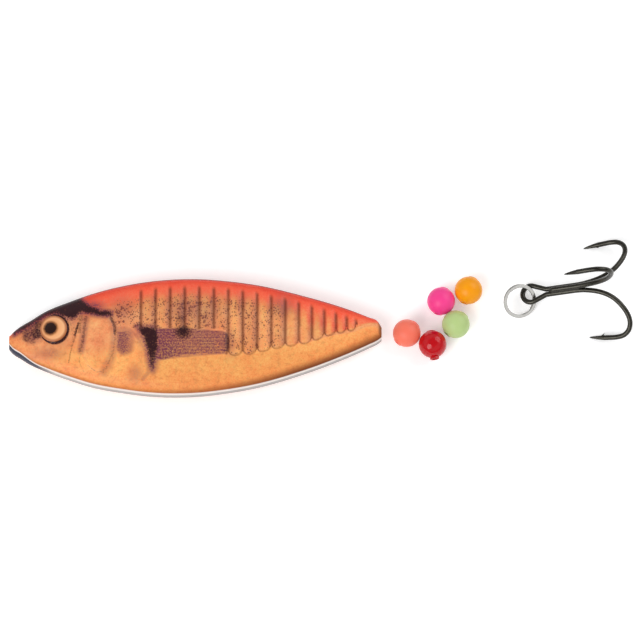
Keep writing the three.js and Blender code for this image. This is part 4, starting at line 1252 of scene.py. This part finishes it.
def ring_basis():
    """Directions of the split ring in the hook's own frame."""
    climb, bearing, side = (math.radians(degrees) for degrees in RING_HANG)
    flat = np.array([math.cos(bearing), math.sin(bearing), 0.0])
    along = flat * math.cos(climb) + np.array([0, 0, math.sin(climb)])
    level = np.cross(along, [0, 0, 1])
    level /= np.linalg.norm(level)
    outward = -(level * math.cos(side) + np.cross(level, along) * math.sin(side))
    return np.stack([outward, along, np.cross(outward, along)])


def black_nickel():
    """High-carbon steel wire, black nickel plated: dark, warm grey gleam with drawn streaks."""
    material, tree = new_material("Carbon steel wire, black nickel plated")
    streaks = streaks_of(tree, (260, 3200, 3200), 4.0)
    mottle = noise_of(tree, object_place(tree), 900.0, 3.0)
    return surfaced(material, {
        "Base Color": blend_of(tree, mottle, settings("lure_hook").nickel, linear("#302f2b")),
        "Metallic": 1.0,
        "Roughness": range_of(tree, streaks, 0.0, 1.0, 0.18, 0.36),
        "Normal": bump_of(tree, streaks, 0.35, 0.03),
    })


def ring_steel():
    """Stainless spring steel, tumble polished: bright, with painted shade on its rounded edges about 0.1 mm
    wide.
    """
    material, tree = new_material("Stainless steel, tumble polished")
    haze = noise_of(tree, object_place(tree), 1500.0, 4.0)
    face = blend_of(tree, haze, settings("lure_hook").steel, linear("#d9d7d2"))
    # Painted shade on the band's rounded edges, where the wire turns away from the light
    brink = range_of(tree, field(tree, "brink"), 0.7, 0.95, 0.0, 0.7)
    return surfaced(material, {
        "Base Color": blend_of(tree, brink, face, linear("#5d5b57")),
        "Metallic": 1.0,
        "Roughness": range_of(tree, haze, 0.0, 1.0, 0.16, 0.32),
    })


# Operators

class LURE_OT_body(bpy.types.Operator):
    """Build both printed halves of the body and the tube, and give the ballast inside its metal"""
    bl_idname = "lure.body"
    bl_label = "Fish body"

    def execute(self, context):
        skin = printed_lacquer()
        place_piece(half_shell("front_half", 1, skin), "lure", "printed_lacquer", "printed_shell")
        place_piece(half_shell("back_half", -1, skin), "lure", "printed_lacquer", "back_shell")
        place_piece(tube_piece(tube_plastic()), "lure", "tube_plastic", "line_tube")
        metal = ballast_metal()
        for name in ("head_weight", "belly_weight"):
            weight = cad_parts[name]
            weight.data.materials.clear()
            weight.data.materials.append(metal)
        return {"FINISHED"}


class LURE_OT_eyes(bpy.types.Operator):
    """Build the two domed eyes in their seats"""
    bl_idname = "lure.eyes"
    bl_label = "Eyes"

    def execute(self, context):
        enamel = eye_enamel()
        for name, side in (("front", 1), ("back", -1)):
            place_piece(eye_piece("fish_eye_" + name, side, enamel), "lure", "eye_enamel", "eye_" + name)
        return {"FINISHED"}


class LURE_OT_beads(bpy.types.Operator):
    """Build the five loose bearing beads"""
    bl_idname = "lure.beads"
    bl_label = "Bearing beads"

    def execute(self, context):
        bead = settings("lure_bead")
        for kind, (bore_angle, rise_share, clear) in BEADS.items():
            word = kind.split("_")[-1]
            title = "Moulded bead plastic, " + kind.replace("_", " ")
            skin = bead_plastic(title, tuple(getattr(bead, kind)), clear)
            piece = bead_piece(kind, bore_angle, in_mm(bead, "lip_rise") * rise_share, skin)
            place_piece(piece, word + "_bead", "bead_" + word + "_gloss", "bead_" + kind)
        return {"FINISHED"}


class LURE_OT_hook(bpy.types.Operator):
    """Build the treble hook from its double wire, third hook and braze"""
    bl_idname = "lure.hook"
    bl_label = "Treble hook"

    def execute(self, context):
        hook = settings("lure_hook")
        plating = black_nickel()
        pieces = (
            ("double_hook", double_wire(hook), "treble_double_wire"),
            ("third_hook", third_hook(hook), "treble_third_hook"),
        )
        for name, parts, node in pieces:
            points, faces = joined(parts)
            place_piece(add_mesh(name, seated(points, node), faces, plating), "treble", "black_nickel", node)
        points, faces = joined(shank_braze(hook))
        wires = joined(double_wire(hook))[0]
        shift = seated(wires, "treble_double_wire")[0] - wires[0] @ hook_basis()
        braze = add_mesh("shank_braze", points @ hook_basis() + shift, faces, plating)
        place_piece(braze, "treble", "black_nickel")
        return {"FINISHED"}


class LURE_OT_ring(bpy.types.Operator):
    """Build the split ring in the hook's eye"""
    bl_idname = "lure.ring"
    bl_label = "Split ring"

    def execute(self, context):
        rings, brink = ring_rings(settings("lure_hook"))
        points = rings.reshape(-1, 3) @ ring_basis()
        faces = ring_faces(len(rings), rings.shape[1])
        ring = add_mesh("spring_ring", seated(points, "split_ring"), faces, ring_steel(), {"brink": brink})
        place_piece(ring, "ring", "ring_steel", "split_ring")
        return {"FINISHED"}


class LURE_OT_stage(bpy.types.Operator):
    """Set the floor, the soft light and the camera"""
    bl_idname = "lure.stage"
    bl_label = "Stage"

    def execute(self, context):
        make_floor()
        make_lights()
        make_camera()
        return {"FINISHED"}


def make_floor():
    """A white floor that keeps the set's shadow and reads white where nothing shades it."""
    material, tree = new_material("Matt white board")
    path = add_node(tree, "ShaderNodeLightPath")
    seen = math_of(tree, "MAXIMUM", path.outputs["Is Camera Ray"], path.outputs["Is Glossy Ray"])
    seen = math_of(tree, "MAXIMUM", seen, path.outputs["Is Transmission Ray"])
    tooth = noise_of(tree, object_place(tree), 900.0, 3.0)
    shade = blend_of(tree, tooth, linear("#f4f4f4"), settings("lure_stage").floor)
    board = add_node(tree, "ShaderNodeBsdfDiffuse", {"Color": shade})
    glow = add_node(tree, "ShaderNodeEmission", {"Color": (1, 1, 1, 1), "Strength": times(tree, seen, 0.3)})
    both = add_node(tree, "ShaderNodeAddShader", {0: board.outputs[0], 1: glow.outputs[0]})
    add_node(tree, "ShaderNodeOutputMaterial", {"Surface": both.outputs[0]})
    signs = ((-1, -1), (1, -1), (1, 1), (-1, 1))
    corners = [(x * FLOOR_REACH, y * FLOOR_REACH, FLOOR_LEVEL) for x, y in signs]
    add_mesh("floor", corners, [(0, 1, 2, 3)], material)


def make_lights():
    """A white studio tent: bright above, greyer at the horizon, with one broad soft key and a fill."""
    world = bpy.data.worlds.new("Studio tent")
    bpy.context.scene.world = world
    world.use_nodes = True
    tree = world.node_tree
    tree.nodes.clear()
    path = add_node(tree, "ShaderNodeLightPath")
    ray = add_node(tree, "ShaderNodeTexCoord").outputs["Generated"]
    height = add_node(tree, "ShaderNodeSeparateXYZ", {0: ray}).outputs["Z"]
    tent = add_node(tree, "ShaderNodeValToRGB", {0: height}, [(at, linear(code)) for at, code in TENT])
    shade = blend_of(tree, path.outputs["Is Camera Ray"], tent.outputs[0], (1, 1, 1))
    back = add_node(tree, "ShaderNodeBackground", {"Color": shade, "Strength": 1.0})
    add_node(tree, "ShaderNodeOutputWorld", {"Surface": back.outputs[0]})
    for name, at, size, power in LAMPS:
        lamp = bpy.data.lights.new(name, "AREA")
        lamp.shape = "DISK"
        lamp.size = size * MM
        lamp.energy = power
        holder = bpy.data.objects.new(name, lamp)
        bpy.context.scene.collection.objects.link(holder)
        holder.location = [c * MM for c in at]
        holder.rotation_euler = (-holder.location).to_track_quat("-Z", "Y").to_euler()


def make_camera():
    """The photograph's camera: long lens, from in front at 75 degrees over the floor."""
    stage = settings("lure_stage")
    camera = bpy.data.cameras.new("camera")
    camera.lens = in_mm(stage, "lens")
    camera.sensor_width = in_mm(stage, "sensor")
    holder = bpy.data.objects.new("camera", camera)
    bpy.context.scene.collection.objects.link(holder)
    away = in_mm(stage, "wide") * camera.lens / camera.sensor_width
    aim = body_origin() + [in_mm(stage, "aim_along"), in_mm(stage, "aim_across"), -1.0]
    at = aim + away * np.array([0, -math.cos(stage.tilt), math.sin(stage.tilt)])
    holder.location = (at * MM).tolist()
    holder.rotation_euler = (math.pi / 2 - stage.tilt, 0, 0)
    camera.clip_start, camera.clip_end = 0.01, 20
    bpy.context.scene.camera = holder


OPERATORS = (LURE_OT_body, LURE_OT_eyes, LURE_OT_beads, LURE_OT_hook, LURE_OT_ring, LURE_OT_stage)


class LURE_PT_panel(bpy.types.Panel):
    """Lists the lure's operators and their sizes in the sidebar"""
    bl_idname = "LURE_PT_panel"
    bl_label = "Through-line lure"
    bl_space_type = "VIEW_3D"
    bl_region_type = "UI"
    bl_category = "Lure"

    def draw(self, context):
        for operator in OPERATORS:
            self.layout.operator(operator.bl_idname)
        for name, group in GROUPS.items():
            box = self.layout.box()
            for key in group.__annotations__:
                box.prop(getattr(context.scene, name), key)


def register():
    """Registers the settings, operators and panel."""
    for name, group in GROUPS.items():
        bpy.utils.register_class(group)
        setattr(bpy.types.Scene, name, bpy.props.PointerProperty(type=group))
    for part in (*OPERATORS, LURE_PT_panel):
        bpy.utils.register_class(part)


def unregister():
    """Takes everything out again."""
    for part in (LURE_PT_panel, *reversed(OPERATORS)):
        bpy.utils.unregister_class(part)
    for name, group in reversed(GROUPS.items()):
        delattr(bpy.types.Scene, name)
        bpy.utils.unregister_class(group)


def main():
    """Builds the whole set."""
    register()
    bpy.context.scene.view_settings.view_transform = "Standard"
    for operator in OPERATORS:
        group, call = operator.bl_idname.split(".")
        getattr(getattr(bpy.ops, group), call)()


if __name__ == "__main__":
    main()
